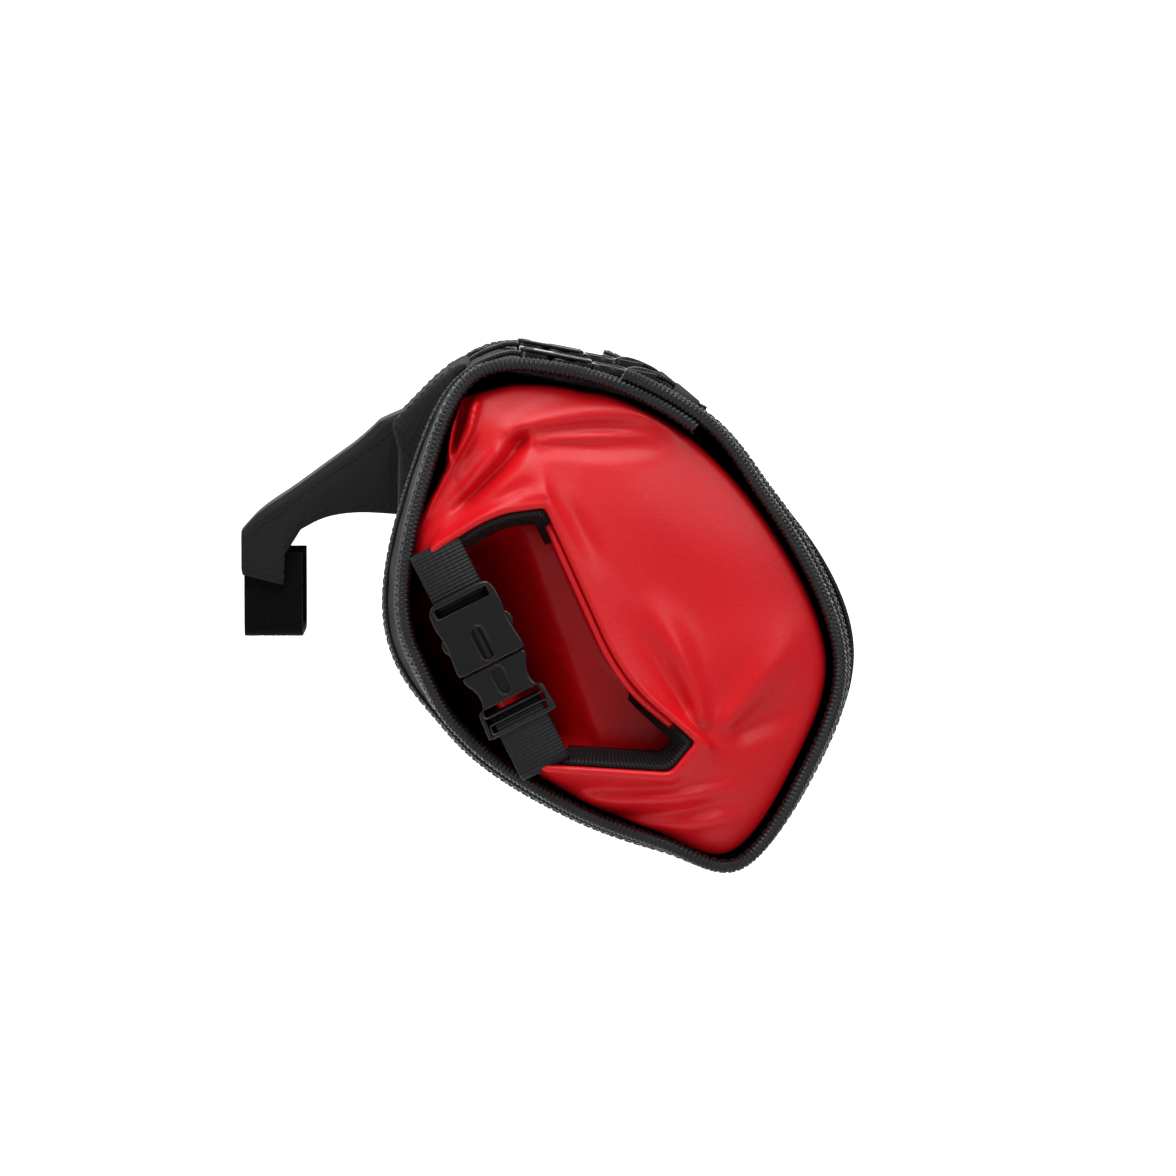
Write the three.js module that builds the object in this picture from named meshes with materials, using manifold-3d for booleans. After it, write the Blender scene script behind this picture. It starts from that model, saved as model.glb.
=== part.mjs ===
import * as THREE from 'three';
import { mergeVertices } from 'three/addons/utils/BufferGeometryUtils.js';
import Module from 'manifold-3d';

// Handlebar bag: a roll-closed dry bag in a fabric wrap, hung from a handlebar by a saddle.
// Millimetres. +X is forward, +Y is the rider's left and +Z is up.
// The origin is the axis of the handlebar, at the middle of the bag.

const wasm = await Module();
wasm.setup();

// Handlebar and stem that the bag is made for
const BAR_DIAMETER = 31.8;
const BAR_TO_WRAP = 7.1;
const STEM_WIDTH = 44.5;

// General clearances and walls
const GAP = 0.35;
const WEBBING_WIDTH = 20;
const WEBBING_THICKNESS = 1.6;

// Wrap
const WRAP_DEPTH = 147;
const WRAP_HEIGHT = 166;
const WRAP_LENGTH = 344;
const WRAP_DROP = 1;
const WRAP_WALL = 1.6;
const WRAP_SWELL = 4;
const SWELL_RUN = 24;
const LAP_START = 60.4;
const LAP_END = 79.1;
const LAP_RAMP = 24;
const BAND_WIDTH = 17;

// Ribbed tape on the rims and the seams
const TAPE_THICKNESS = 0.6;
const TAPE_LEG = 7;
const SEAM_TAPE_WIDTH = 8;

// Dry bag
const BAG_WALL = 1.5;
const BAG_FIT = 0.6;
const FIT_SLANT = 1.25;
const END_MARGIN = 6;
const BAG_END_INSET = 6;
const CREST_RISE = 16;
const DISH_DEPTH = 26;
const RIDGE_THICKNESS = 2.2;
const MOUTH_LENGTH = 26;
const MOUTH_WIDTH = 0.8;
const ROLL_THICKNESS = 2.4;
const ROLL_WIDTH = 20;
const ROLL_TRIM = 3;
const ROLL_BELOW_CREST = 1;
const CUT_MARGIN = 1;

// Side-release buckles
const BUCKLE_LENGTH = 48;
const BUCKLE_WIDTH = 25;
const BUCKLE_THICKNESS = 6;
const BUCKLE_WALL = 1.5;
const BUCKLE_BODY_SHARE = 0.56;
const BUCKLE_SLOT_WIDTH = 3.4;
const BUCKLE_SLOT_PITCH = 6.4;
const BUCKLE_STAND = 1;
const BUCKLE_CORNER = 3.75;
const BUCKLE_BASE_CORNER = 2;
const BUCKLE_BASE_SHARE = 0.75;
const BUCKLE_WINDOW_FROM = 3;
const BUCKLE_WINDOW_TO = 7;
const BUCKLE_VIEW_FROM = 2;
const BUCKLE_VIEW_TO = 4;
const BUCKLE_VIEW_WIDTH = 4;
const BUCKLE_ARM_WIDTH = 3;
const BUCKLE_TONGUE_WIDTH = 2.4;
const BUCKLE_PLAY = 1;

// Compression straps over the top and down the front
const STRAP_OFFSET = 85;
const STRAP_PROUD = 4.5;
const BUCKLE_TURN = 86;
const ANCHOR_TURN = 117;
const ANCHOR_BEND_SHARE = 0.2;
const STRAP_FIRST_TURN = 54;
const STRAP_LAST_TURN = -54;
const STRAP_TURN_STEP = 9;
const STRAP_OFF_LAP_TURN = 36;
const STRAP_ON_LAP_TURN = 52;
const STRAP_PROUD_TURN = 30;

// Padded back panel and mounting saddle
const PAD_MARGIN = 3;
const PAD_ROUND = 8;
const SADDLE_WALL = 2.2;
const SADDLE_REACH = 34.7;
const SADDLE_TOP = 58.1;
const STEM_STRAP_WIDTH = 21;
const STEM_STRAP_DROP = 18;
const STEM_STRAP_WALL = 2.2;
const STEM_STRAP_LAP = 8;

// How finely round forms are cut
const WRAP_STEPS = 54;
const PAD_STEPS = 3;
const BAG_STEPS = 54;
const CURVE_STEPS = 480;

const RAD = Math.PI / 180;
const SADDLE_WIDTH = STEM_WIDTH + 2 * (SADDLE_WALL + GAP + STEM_STRAP_WALL);
const WRAP_HALF = WRAP_LENGTH / 2;
const WRAP_CENTRE_X = BAR_DIAMETER / 2 + BAR_TO_WRAP + WRAP_DEPTH / 2;
const LAP_LIFT = WRAP_WALL + 2 * (GAP + TAPE_THICKNESS) + GAP;
const BAND_EDGE = WRAP_HALF - BAND_WIDTH;
const SIDES = [
  { name: 'right', sign: -1 },
  { name: 'left', sign: 1 },
];

// Rim outline of the wrap, seen from the right. x and z are shares of its depth and height from
// its centre, and swell is the share of WRAP_SWELL by which the middle stands out of the rim.
const WRAP_OUTLINE = [
  { at: 'top rear corner', x: -0.33, z: 0.488, swell: -0.3 },
  { at: 'upper rear', x: -0.455, z: 0.283, swell: -0.3 },
  { at: 'rear, by the bar', x: -0.5, z: -0.024, swell: 0.3 },
  { at: 'under the bar', x: -0.35, z: -0.235, swell: 0.9 },
  { at: 'bottom rear', x: -0.112, z: -0.38, swell: 1 },
  { at: 'bottom', x: 0.092, z: -0.452, swell: 1 },
  { at: 'lowest corner', x: 0.262, z: -0.497, swell: 0.5 },
  { at: 'lower front', x: 0.432, z: -0.295, swell: 0.7 },
  { at: 'front', x: 0.5, z: -0.084, swell: 0.7 },
  { at: 'upper front', x: 0.364, z: 0.199, swell: 0.6 },
  { at: 'top front', x: 0.146, z: 0.398, swell: 0 },
  { at: 'top', x: -0.112, z: 0.494, swell: -1.2 },
];

// Crest of the rolled end, as shares like those of the rim. lift is the share of CREST_RISE that
// the crest reaches, and it sinks between the two ends that the buckle joins.
const CREST_OUTLINE = [
  { at: 'upper end', x: -0.425, z: 0.14, lift: 1 },
  { at: 'upper arm', x: -0.285, z: 0.22, lift: 1 },
  { at: 'upper kink', x: -0.158, z: 0.235, lift: 1 },
  { at: 'front arm', x: 0.018, z: -0.11, lift: 1 },
  { at: 'front kink', x: 0.19, z: -0.239, lift: 1 },
  { at: 'lower kink', x: 0.119, z: -0.315, lift: 1 },
  { at: 'lower end', x: -0.177, z: -0.298, lift: 1 },
  { at: 'under the buckle', x: -0.32, z: -0.09, lift: 0.15 },
];
const CREST_ARM_ROWS = 7;

// Outline of the dry bag's end, as shares like those of the rim. The rolled mouth pulls it in at
// the top and the rear, and the last three rows lie beyond the rim, where the tube keeps its shape.
const END_OUTLINE = [
  { at: 'top front', x: 0.188, z: 0.372 },
  { at: 'front of the top', x: 0.109, z: 0.411 },
  { at: 'top', x: 0.006, z: 0.435 },
  { at: 'rear of the top', x: -0.144, z: 0.457 },
  { at: 'beside the ear', x: -0.237, z: 0.459 },
  { at: 'ear', x: -0.35, z: 0.431 },
  { at: 'under the ear', x: -0.384, z: 0.33 },
  { at: 'upper rear', x: -0.4415, z: 0.202 },
  { at: 'upper end of the roll', x: -0.466, z: 0.151 },
  { at: 'behind the buckle', x: -0.378, z: -0.006 },
  { at: 'under the buckle', x: -0.262, z: -0.187 },
  { at: 'lower end of the roll', x: -0.2, z: -0.307 },
  { at: 'lower rear', x: -0.112, z: -0.395 },
  { at: 'bottom', x: -0.031, z: -0.449 },
  { at: 'beyond the bottom', x: 0.3, z: -0.75 },
  { at: 'beyond the lower front', x: 0.8, z: -0.3 },
  { at: 'beyond the upper front', x: 0.7, z: 0.3 },
];

// How the tube narrows to that outline: along is a share of WRAP_HALF, and pull the share of the
// way from the tube to the outline.
const END_TAPER = [
  { along: 0.38, pull: 0 },
  { along: 0.62, pull: 1 },
  { along: 0.86, pull: 1 },
];

// Polar centre of every section, as shares
const POLE = { x: -0.112, z: -0.066 };

// Rings of the skirt at each end of the dry bag. across runs from the tube, 0, to the crest, 1, and
// rise is the share of CREST_RISE above the tube's end.
const SKIRT_RINGS = [
  { across: 0, rise: -0.5 },
  { across: 0.05, rise: 0 },
  { across: 0.22, rise: 0.3 },
  { across: 0.5, rise: 0.5 },
  { across: 0.8, rise: 0.76 },
];
const CREST_RING = { across: 1, rise: 1 };
const UNDER_CREST_RING = { across: 0.95, rise: 0.9 };
const POLE_SHARE = 0.06;

// Folds of the skirt between rim and crest: turn in degrees about the pole, spread in degrees,
// and height as a share of CREST_RISE, out for a ridge and in for a valley.
const SKIRT_FOLDS = [
  { at: 'ear at the top rear', turn: 113, spread: 9, height: 0.42 },
  { at: 'valley beside the ear', turn: 97, spread: 8, height: -0.3 },
  { at: 'ridge over the top', turn: 72, spread: 12, height: 0.22 },
  { at: 'valley at the top front', turn: 50, spread: 9, height: -0.22 },
  { at: 'ridge at the front', turn: -28, spread: 10, height: 0.3 },
  { at: 'valley at the lower front', turn: -52, spread: 8, height: -0.22 },
  { at: 'ridge along the bottom', turn: -85, spread: 12, height: 0.2 },
];

// Outer face of the back pad, as shares of the wrap's depth and height from its centre
const PAD_OUTLINE = [
  { at: 'top edge', x: -0.345, z: 0.499 },
  { at: 'upper slope', x: -0.425, z: 0.442 },
  { at: 'bulge', x: -0.517, z: 0.36 },
  { at: 'under the bulge', x: -0.5, z: 0.308 },
  { at: 'beside the bar', x: -0.502, z: 0.187 },
  { at: 'lower edge', x: -0.514, z: 0.06 },
];

// Side view of the saddle: x as a share of SADDLE_REACH, behind the bar when below 0,
// and z as a share of SADDLE_TOP.
const SADDLE_TOP_EDGE = [
  { at: 'beyond the pad', x: 1.0, z: 1.26 },
  { at: 'over the bar', x: -0.386, z: 0.6265 },
  { at: 'over the stem', x: -0.8, z: 0.47 },
  { at: 'rear corner', x: -0.97, z: 0.36 },
];
const SADDLE_LOWER_EDGE = [
  { at: 'rear edge', x: -1, z: 0.16 },
  { at: 'flap corner', x: -0.985, z: 0.076 },
  { at: 'flap front corner', x: -0.54, z: 0.01 },
  { at: 'foot of the arch', x: -0.55, z: 0.205 },
  { at: 'rear of the arch', x: -0.386, z: 0.35 },
  { at: 'arch', x: -0.16, z: 0.425 },
  { at: 'top of the arch', x: 0.1, z: 0.456 },
  { at: 'front of the arch', x: 0.4, z: 0.456 },
  { at: 'inside the pad', x: 1.0, z: 0.42 },
];

const COLOURS = {
  red: new THREE.MeshStandardMaterial({ color: 0xd8262c, roughness: 0.42, metalness: 0 }),
  nylon: new THREE.MeshStandardMaterial({ color: 0x26262a, roughness: 0.85, metalness: 0 }),
  band: new THREE.MeshStandardMaterial({ color: 0x48484c, roughness: 0.8, metalness: 0 }),
  tape: new THREE.MeshStandardMaterial({ color: 0x17171a, roughness: 0.7, metalness: 0 }),
  webbing: new THREE.MeshStandardMaterial({ color: 0x1b1b1e, roughness: 0.75, metalness: 0 }),
  buckle: new THREE.MeshStandardMaterial({ color: 0x2b2b2e, roughness: 0.4, metalness: 0 }),
  saddle: new THREE.MeshStandardMaterial({ color: 0x202023, roughness: 0.6, metalness: 0 }),
  loop: new THREE.MeshStandardMaterial({ color: 0x0d0d0f, roughness: 0.95, metalness: 0 }),
};

const bag = new THREE.Group();

function addPiece(name, geometry, material) {
  const mesh = new THREE.Mesh(geometry, material.clone());
  mesh.name = name;
  bag.add(mesh);
}

// Place of a share of the wrap's section
function sectionPoint(row) {
  return new THREE.Vector2(WRAP_CENTRE_X + row.x * WRAP_DEPTH, row.z * WRAP_HEIGHT - WRAP_DROP);
}

const pole = sectionPoint(POLE);

function lerp(a, b, share) {
  return a + (b - a) * share;
}

// Even step from 0 to 1 between two edges
function smooth(low, high, value) {
  const share = Math.min(1, Math.max(0, (value - low) / (high - low)));
  return share * share * (3 - 2 * share);
}

// Quads that close a ring by joining its first half to its second half, like a ladder's rungs
function ladder(count) {
  const quads = [];
  for (let rung = 0; rung < count / 2 - 1; rung += 1) {
    quads.push([rung, rung + 1, count - 2 - rung, count - 1 - rung]);
  }
  return quads;
}

// Closed solid through rings of equal length, with the quads that close its first and last ring
function skin(rings, caps = ladder(rings[0].length)) {
  const count = rings[0].length;
  const positions = rings.flat().flatMap((point) => [point.x, point.y, point.z]);
  const index = [];
  for (let row = 0; row < rings.length - 1; row += 1) {
    for (let column = 0; column < count; column += 1) {
      const a = row * count + column;
      const b = row * count + ((column + 1) % count);
      index.push(a, b, b + count, a, b + count, a + count);
    }
  }
  const last = (rings.length - 1) * count;
  caps.forEach(([a, b, c, d]) => {
    index.push(a, c, b, a, d, c);
    index.push(last + a, last + b, last + c, last + a, last + c, last + d);
  });
  const geometry = new THREE.BufferGeometry();
  geometry.setAttribute('position', new THREE.Float32BufferAttribute(positions, 3));
  geometry.setIndex(index);
  if (signedVolume(geometry) < 0) {
    geometry.setIndex(flipped(index));
  }
  geometry.computeVertexNormals();
  return geometry;
}

function flipped(index) {
  const turned = [];
  for (let i = 0; i < index.length; i += 3) {
    turned.push(index[i], index[i + 2], index[i + 1]);
  }
  return turned;
}

function signedVolume(geometry) {
  const place = geometry.getAttribute('position');
  const index = geometry.getIndex();
  const corner = [new THREE.Vector3(), new THREE.Vector3(), new THREE.Vector3()];
  let total = 0;
  for (let i = 0; i < index.count; i += 3) {
    corner.forEach((point, k) => point.fromBufferAttribute(place, index.getX(i + k)));
    total += corner[0].dot(corner[1].clone().cross(corner[2]));
  }
  return total / 6;
}

// Solid for cutting and joining
function toSolid(geometry) {
  const bare = geometry.clone();
  bare.deleteAttribute('normal');
  bare.deleteAttribute('uv');
  const merged = mergeVertices(bare, 1e-4);
  return new wasm.Manifold(new wasm.Mesh({
    numProp: 3,
    vertProperties: new Float32Array(merged.getAttribute('position').array),
    triVerts: new Uint32Array(merged.getIndex().array),
  }));
}

function toGeometry(solid) {
  const mesh = solid.getMesh();
  const geometry = new THREE.BufferGeometry();
  geometry.setAttribute('position', new THREE.BufferAttribute(mesh.vertProperties.slice(), 3));
  geometry.setIndex(new THREE.BufferAttribute(mesh.triVerts.slice(), 1));
  geometry.computeVertexNormals();
  return geometry;
}

// Path moved sideways by a distance, square to its segments, to the left of its direction
function shifted(path, distance, joined = false) {
  const count = path.length;
  return path.map((point, i) => {
    const before = path[joined ? (i + count - 1) % count : Math.max(0, i - 1)];
    const after = path[joined ? (i + 1) % count : Math.min(count - 1, i + 1)];
    const first = point.clone().sub(before);
    const second = after.clone().sub(point);
    const a = (first.lengthSq() > 0 ? first : second).clone().normalize();
    const b = (second.lengthSq() > 0 ? second : first).clone().normalize();
    const normal = new THREE.Vector2(-(a.y + b.y), a.x + b.x).normalize();
    const stretch = Math.max(0.5, normal.dot(new THREE.Vector2(-a.y, a.x)));
    return point.clone().addScaledVector(normal, distance / stretch);
  });
}

// Distance from the pole to a closed outline, and the outline's third value, for a turn
function polarOutline(points) {
  const polar = points.map((point) => ({
    turn: Math.atan2(point.y - pole.y, point.x - pole.x) / RAD,
    reach: Math.hypot(point.x - pole.x, point.y - pole.y),
    value: point.z,
  }));
  return (turn) => {
    for (let i = 0; i < polar.length; i += 1) {
      const low = polar[i];
      const high = polar[(i + 1) % polar.length];
      const width = (((high.turn - low.turn) % 360) + 360) % 360;
      const ahead = (((turn - low.turn) % 360) + 360) % 360;
      if (width < 180 && ahead <= width && width > 0) {
        const x = (polarX(high) - polarX(low));
        const z = (polarZ(high) - polarZ(low));
        const cos = Math.cos(turn * RAD);
        const sin = Math.sin(turn * RAD);
        const share = (polarX(low) * sin - polarZ(low) * cos) / (z * cos - x * sin);
        const reach = (polarX(low) + x * share) * cos + (polarZ(low) + z * share) * sin;
        return { reach, value: lerp(low.value, high.value, share) };
      }
    }
    return { reach: polar[0].reach, value: polar[0].value };
  };
}

function polarX(row) {
  return row.reach * Math.cos(row.turn * RAD);
}

function polarZ(row) {
  return row.reach * Math.sin(row.turn * RAD);
}

function withValue(row, key) {
  const point = sectionPoint(row);
  return new THREE.Vector3(point.x, point.y, row[key]);
}

const wrapCurve = new THREE.CatmullRomCurve3(
  WRAP_OUTLINE.map((row) => withValue(row, 'swell')),
  true,
  'centripetal',
);
const wrapReach = polarOutline(wrapCurve.getSpacedPoints(CURVE_STEPS).slice(0, -1));
const crestReach = polarOutline(CREST_OUTLINE.slice().reverse().map((row) => withValue(row, 'lift')));
const outlineReach = polarOutline(END_OUTLINE.map((row) => withValue(row, 'z')));

// Wrap

// Share of the swell at a distance from the middle
function swellShare(y) {
  return 1 - smooth(WRAP_HALF - SWELL_RUN, WRAP_HALF, Math.abs(y));
}

// Outer face of the wrap at a turn, before the lap lifts it
function wrapPoint(turn, y) {
  const { reach, value } = wrapReach(turn);
  const total = reach + value * WRAP_SWELL * swellShare(y);
  return new THREE.Vector2(
    pole.x + total * Math.cos(turn * RAD),
    pole.y + total * Math.sin(turn * RAD),
  );
}

// Outline of the outer face from one free edge round to the other, lifted where it laps
function wrapPath(y, offset = 0, from = LAP_START, to = 360 + LAP_END) {
  const turns = [];
  for (let i = 0; i <= WRAP_STEPS; i += 1) {
    turns.push(lerp(from, to, i / WRAP_STEPS));
  }
  const base = turns.map((turn) => wrapPoint(turn, y));
  const plain = shifted(base, -offset);
  const lifted = shifted(base, -offset - LAP_LIFT);
  const full = 360 + LAP_START - GAP;
  return plain.map((point, i) => point.lerp(lifted[i], smooth(full - LAP_RAMP, full, turns[i])));
}

function raise(path, y) {
  return path.map((point) => new THREE.Vector3(point.x, y, point.y));
}

// One ring of a sheet: its outer face and back along its inner face
function sheetRing(y, outerOffset, innerOffset) {
  const outer = raise(wrapPath(y, outerOffset), y);
  const inner = raise(wrapPath(y, innerOffset), y);
  return outer.concat(inner.reverse());
}

function buildWrapPanel() {
  const edge = BAND_EDGE - GAP / 2;
  const full = WRAP_HALF - SWELL_RUN;
  const stops = [-edge, -full, -STRAP_OFFSET, 0, STRAP_OFFSET, full, edge];
  addPiece('wrap_panel', skin(stops.map((y) => sheetRing(y, 0, -WRAP_WALL))), COLOURS.nylon);
}

function buildEndBand(side) {
  const stops = [BAND_EDGE + GAP / 2, WRAP_HALF - TAPE_LEG, WRAP_HALF];
  const rings = stops.map((y) => sheetRing(y * side.sign, 0, -WRAP_WALL));
  addPiece(`end_band_${side.name}`, skin(rings), COLOURS.band);
}

// Quads that close the folded tape's eight-cornered ring: outer leg, face and inner leg
const FOLDED_TAPE_CAPS = [[0, 1, 6, 7], [1, 2, 5, 6], [2, 3, 4, 5]];

// Tape folded over the rim
function buildRimBinding(side) {
  const outer = GAP + TAPE_THICKNESS;
  const edge = WRAP_HALF + GAP;
  const profile = [
    { offset: outer, y: WRAP_HALF - TAPE_LEG },
    { offset: outer, y: edge + TAPE_THICKNESS },
    { offset: -WRAP_WALL - outer, y: edge + TAPE_THICKNESS },
    { offset: -WRAP_WALL - outer, y: WRAP_HALF - TAPE_LEG },
    { offset: -WRAP_WALL - GAP, y: WRAP_HALF - TAPE_LEG },
    { offset: -WRAP_WALL - GAP, y: edge },
    { offset: GAP, y: edge },
    { offset: GAP, y: WRAP_HALF - TAPE_LEG },
  ];
  const lines = profile.map((row) => raise(wrapPath(row.y * side.sign, row.offset), row.y * side.sign));
  const rings = lines[0].map((_, i) => lines.map((line) => line[i]));
  addPiece(`rim_binding_${side.name}`, skin(rings, FOLDED_TAPE_CAPS), COLOURS.tape);
}

function buildSeamBinding(side) {
  const stops = [BAND_EDGE - SEAM_TAPE_WIDTH / 2, BAND_EDGE + SEAM_TAPE_WIDTH / 2];
  const rings = stops.map((y) => sheetRing(y * side.sign, GAP + TAPE_THICKNESS, GAP));
  addPiece(`seam_binding_${side.name}`, skin(rings), COLOURS.tape);
}

// Dry bag

// Turns used for every ring of the dry bag: even steps, with one at each corner of the crest
function bagTurns() {
  const corners = CREST_OUTLINE.map((row) => {
    const point = sectionPoint(row);
    return (Math.atan2(point.y - pole.y, point.x - pole.x) / RAD + 360) % 360;
  });
  const step = 360 / BAG_STEPS;
  const turns = [];
  for (let i = 0; i < BAG_STEPS; i += 1) {
    const turn = i * step;
    const near = corners.find((corner) => Math.abs(corner - turn) <= step / 2);
    turns.push(near ?? turn);
  }
  return turns;
}

const TURNS = bagTurns();

// Reach of the dry bag's tube, inside the wrap. A wall lies slanted to the reach, so it takes more.
function tubeReach(turn, y, wall) {
  const { reach, value } = wrapReach(turn);
  const fit = WRAP_WALL + BAG_FIT + 2 * TAPE_THICKNESS + wall;
  return reach + Math.min(0, value) * WRAP_SWELL * swellShare(y) - fit * FIT_SLANT;
}

// Reach of the dry bag's end, between its tube and the crest of the rolled mouth
function endReach(turn, wall) {
  const drawn = Math.max(outlineReach(turn).reach, crestReach(turn).reach + END_MARGIN);
  return Math.min(tubeReach(turn, END_BASE, wall), drawn - wall * FIT_SLANT);
}

// Height of the skirt's folds at a turn and a share of the way from rim to crest
function foldHeight(turn, across) {
  const middle = Math.sin(Math.PI * Math.min(1, across));
  let height = 0;
  SKIRT_FOLDS.forEach((fold) => {
    const apart = Math.abs((((turn - fold.turn) % 360) + 540) % 360 - 180);
    height += fold.height * (1 - smooth(0, fold.spread, apart));
  });
  return height * middle * CREST_RISE;
}

function bagRing(side, distance, reachAt) {
  return TURNS.map((turn) => {
    const reach = reachAt(turn);
    return new THREE.Vector3(
      pole.x + reach * Math.cos(turn * RAD),
      side.sign * distance(turn),
      pole.y + reach * Math.sin(turn * RAD),
    );
  });
}

const END_BASE = WRAP_HALF - BAG_END_INSET;
const CREST_Y = END_BASE + CREST_RISE;
const DISH_Y = CREST_Y - DISH_DEPTH;

// Rings of one end, from the tube over the skirt. The outer face, with no inset, runs on over the
// crest, and the cavity's face, set inside it, stops under the floor of the dish.
function endRings(side, inset) {
  const rows = [...SKIRT_RINGS, inset > 0 ? UNDER_CREST_RING : CREST_RING];
  const skirt = rows.map((row) => bagRing(
    side,
    (turn) => {
      const lift = row.rise > 0 ? row.rise * crestReach(turn).value : row.rise;
      return END_BASE + lift * CREST_RISE + foldHeight(turn, row.across) - inset;
    },
    (turn) => lerp(endReach(turn, inset), crestReach(turn).reach, row.across),
  ));
  const taper = END_TAPER.map((row) => bagRing(
    side,
    () => row.along * WRAP_HALF,
    (turn) => {
      const tube = tubeReach(turn, row.along * WRAP_HALF, inset);
      return lerp(tube, Math.min(tube, endReach(turn, inset)), row.pull);
    },
  ));
  const middle = inset > 0 ? DISH_Y - inset : CREST_Y;
  const centre = bagRing(side, () => middle, (turn) => crestReach(turn).reach * POLE_SHARE);
  if (inset > 0) {
    const floor = bagRing(side, () => middle, (turn) => crestReach(turn).reach);
    return [...taper, ...skirt, floor, centre];
  }
  return [...taper, ...skirt, centre];
}

// The hollow inside the crest's ring
function dishCutter(side) {
  const path = shifted(CREST_OUTLINE.map((row) => sectionPoint(row)), -RIDGE_THICKNESS, true);
  const rows = path.map((point) => [point.x, point.y]);
  const depth = DISH_DEPTH * 2;
  const hollow = prism(rows, depth);
  hollow.translate(0, side.sign * (DISH_Y + depth / 2), 0);
  return toSolid(hollow);
}

function bagBody(inset) {
  const [right, left] = SIDES;
  return skin([...endRings(right, inset).reverse(), ...endRings(left, inset)]);
}

// Arms of the crest, from the upper end round to the lower end, each end drawn back by a trim
function crestPath(inward, trim = 0) {
  const arms = CREST_OUTLINE.slice(0, CREST_ARM_ROWS).map((row) => sectionPoint(row));
  const path = shifted(arms, -inward);
  const last = path.length - 1;
  const start = path[1].clone().sub(path[0]).setLength(trim);
  const finish = path[last - 1].clone().sub(path[last]).setLength(trim);
  path[0].add(start);
  path[last].add(finish);
  return path;
}

// The mouth: a slit in the ridge's upper arm, between its two layers of fabric
function mouthCutter(side) {
  const [from, to] = crestPath(RIDGE_THICKNESS / 2);
  const along = to.clone().sub(from);
  const middle = from.clone().lerp(to, 0.5);
  const depth = DISH_DEPTH + 2 * BAG_WALL + CUT_MARGIN;
  const slit = new THREE.BoxGeometry(Math.min(MOUTH_LENGTH, along.length()), depth, MOUTH_WIDTH);
  slit.rotateY(-Math.atan2(along.y, along.x));
  const y = side.sign * (CREST_Y + CUT_MARGIN - depth / 2);
  slit.translate(middle.x, y, middle.y);
  return toSolid(slit);
}

function buildDryBag() {
  let solid = toSolid(bagBody(0)).subtract(toSolid(bagBody(BAG_WALL)));
  SIDES.forEach((side) => {
    solid = solid.subtract(dishCutter(side)).subtract(mouthCutter(side));
  });
  addPiece('dry_bag', toGeometry(solid), COLOURS.red);
}

// Strip that follows the inside of the crest between two depths and two distances from the middle
function crestStrip(side, near, far, low, high) {
  const trim = RIDGE_THICKNESS + ROLL_TRIM;
  const outer = crestPath(near, trim);
  const inner = crestPath(far, trim);
  const rings = [low, high].map((y) => (
    raise(outer, y * side.sign).concat(raise(inner, y * side.sign).reverse())
  ));
  return skin(rings);
}

function buildRoll(side) {
  const near = RIDGE_THICKNESS + GAP;
  const far = near + ROLL_THICKNESS;
  const high = CREST_Y - ROLL_BELOW_CREST;
  const roll = crestStrip(side, near, far, high - ROLL_WIDTH, high);
  addPiece(`roll_closure_${side.name}`, roll, COLOURS.red);
  const webbing = crestStrip(
    side,
    far + GAP,
    far + GAP + WEBBING_THICKNESS,
    high - WEBBING_WIDTH,
    high + WEBBING_THICKNESS / 2,
  );
  addPiece(`closure_webbing_${side.name}`, webbing, COLOURS.webbing);
}

// Flat strap through stations, each with its middle, its direction across and its normal
function strap(stations, width, thickness) {
  return skin(stations.map(({ middle, across, normal }) => [
    middle.clone().addScaledVector(across, -width / 2).addScaledVector(normal, thickness / 2),
    middle.clone().addScaledVector(across, width / 2).addScaledVector(normal, thickness / 2),
    middle.clone().addScaledVector(across, width / 2).addScaledVector(normal, -thickness / 2),
    middle.clone().addScaledVector(across, -width / 2).addScaledVector(normal, -thickness / 2),
  ]));
}

function outlineShape(rows) {
  const shape = new THREE.Shape();
  rows.forEach(([x, y], i) => (i === 0 ? shape.moveTo(x, y) : shape.lineTo(x, y)));
  return shape;
}

function plate(rows, low, high) {
  const settings = { depth: high - low, bevelEnabled: false };
  const geometry = new THREE.ExtrudeGeometry(outlineShape(rows), settings);
  geometry.translate(0, 0, low);
  return geometry;
}

function rectangle(x0, x1, y0, y1) {
  return [[x0, y0], [x1, y0], [x1, y1], [x0, y1]];
}

// Side-release buckle, lying in its own plane: length along X, width along Y, thickness along Z.
// The body holds two spring arms, and the prong's base carries the webbing on a ladder of slots.

// Slot through the buckle that the webbing passes, starting at a length along it
function webbingSlot(x) {
  const half = WEBBING_WIDTH / 2 - BUCKLE_PLAY;
  return plate(rectangle(x, x + BUCKLE_SLOT_WIDTH, -half, half), -BUCKLE_THICKNESS, BUCKLE_THICKNESS);
}

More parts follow.
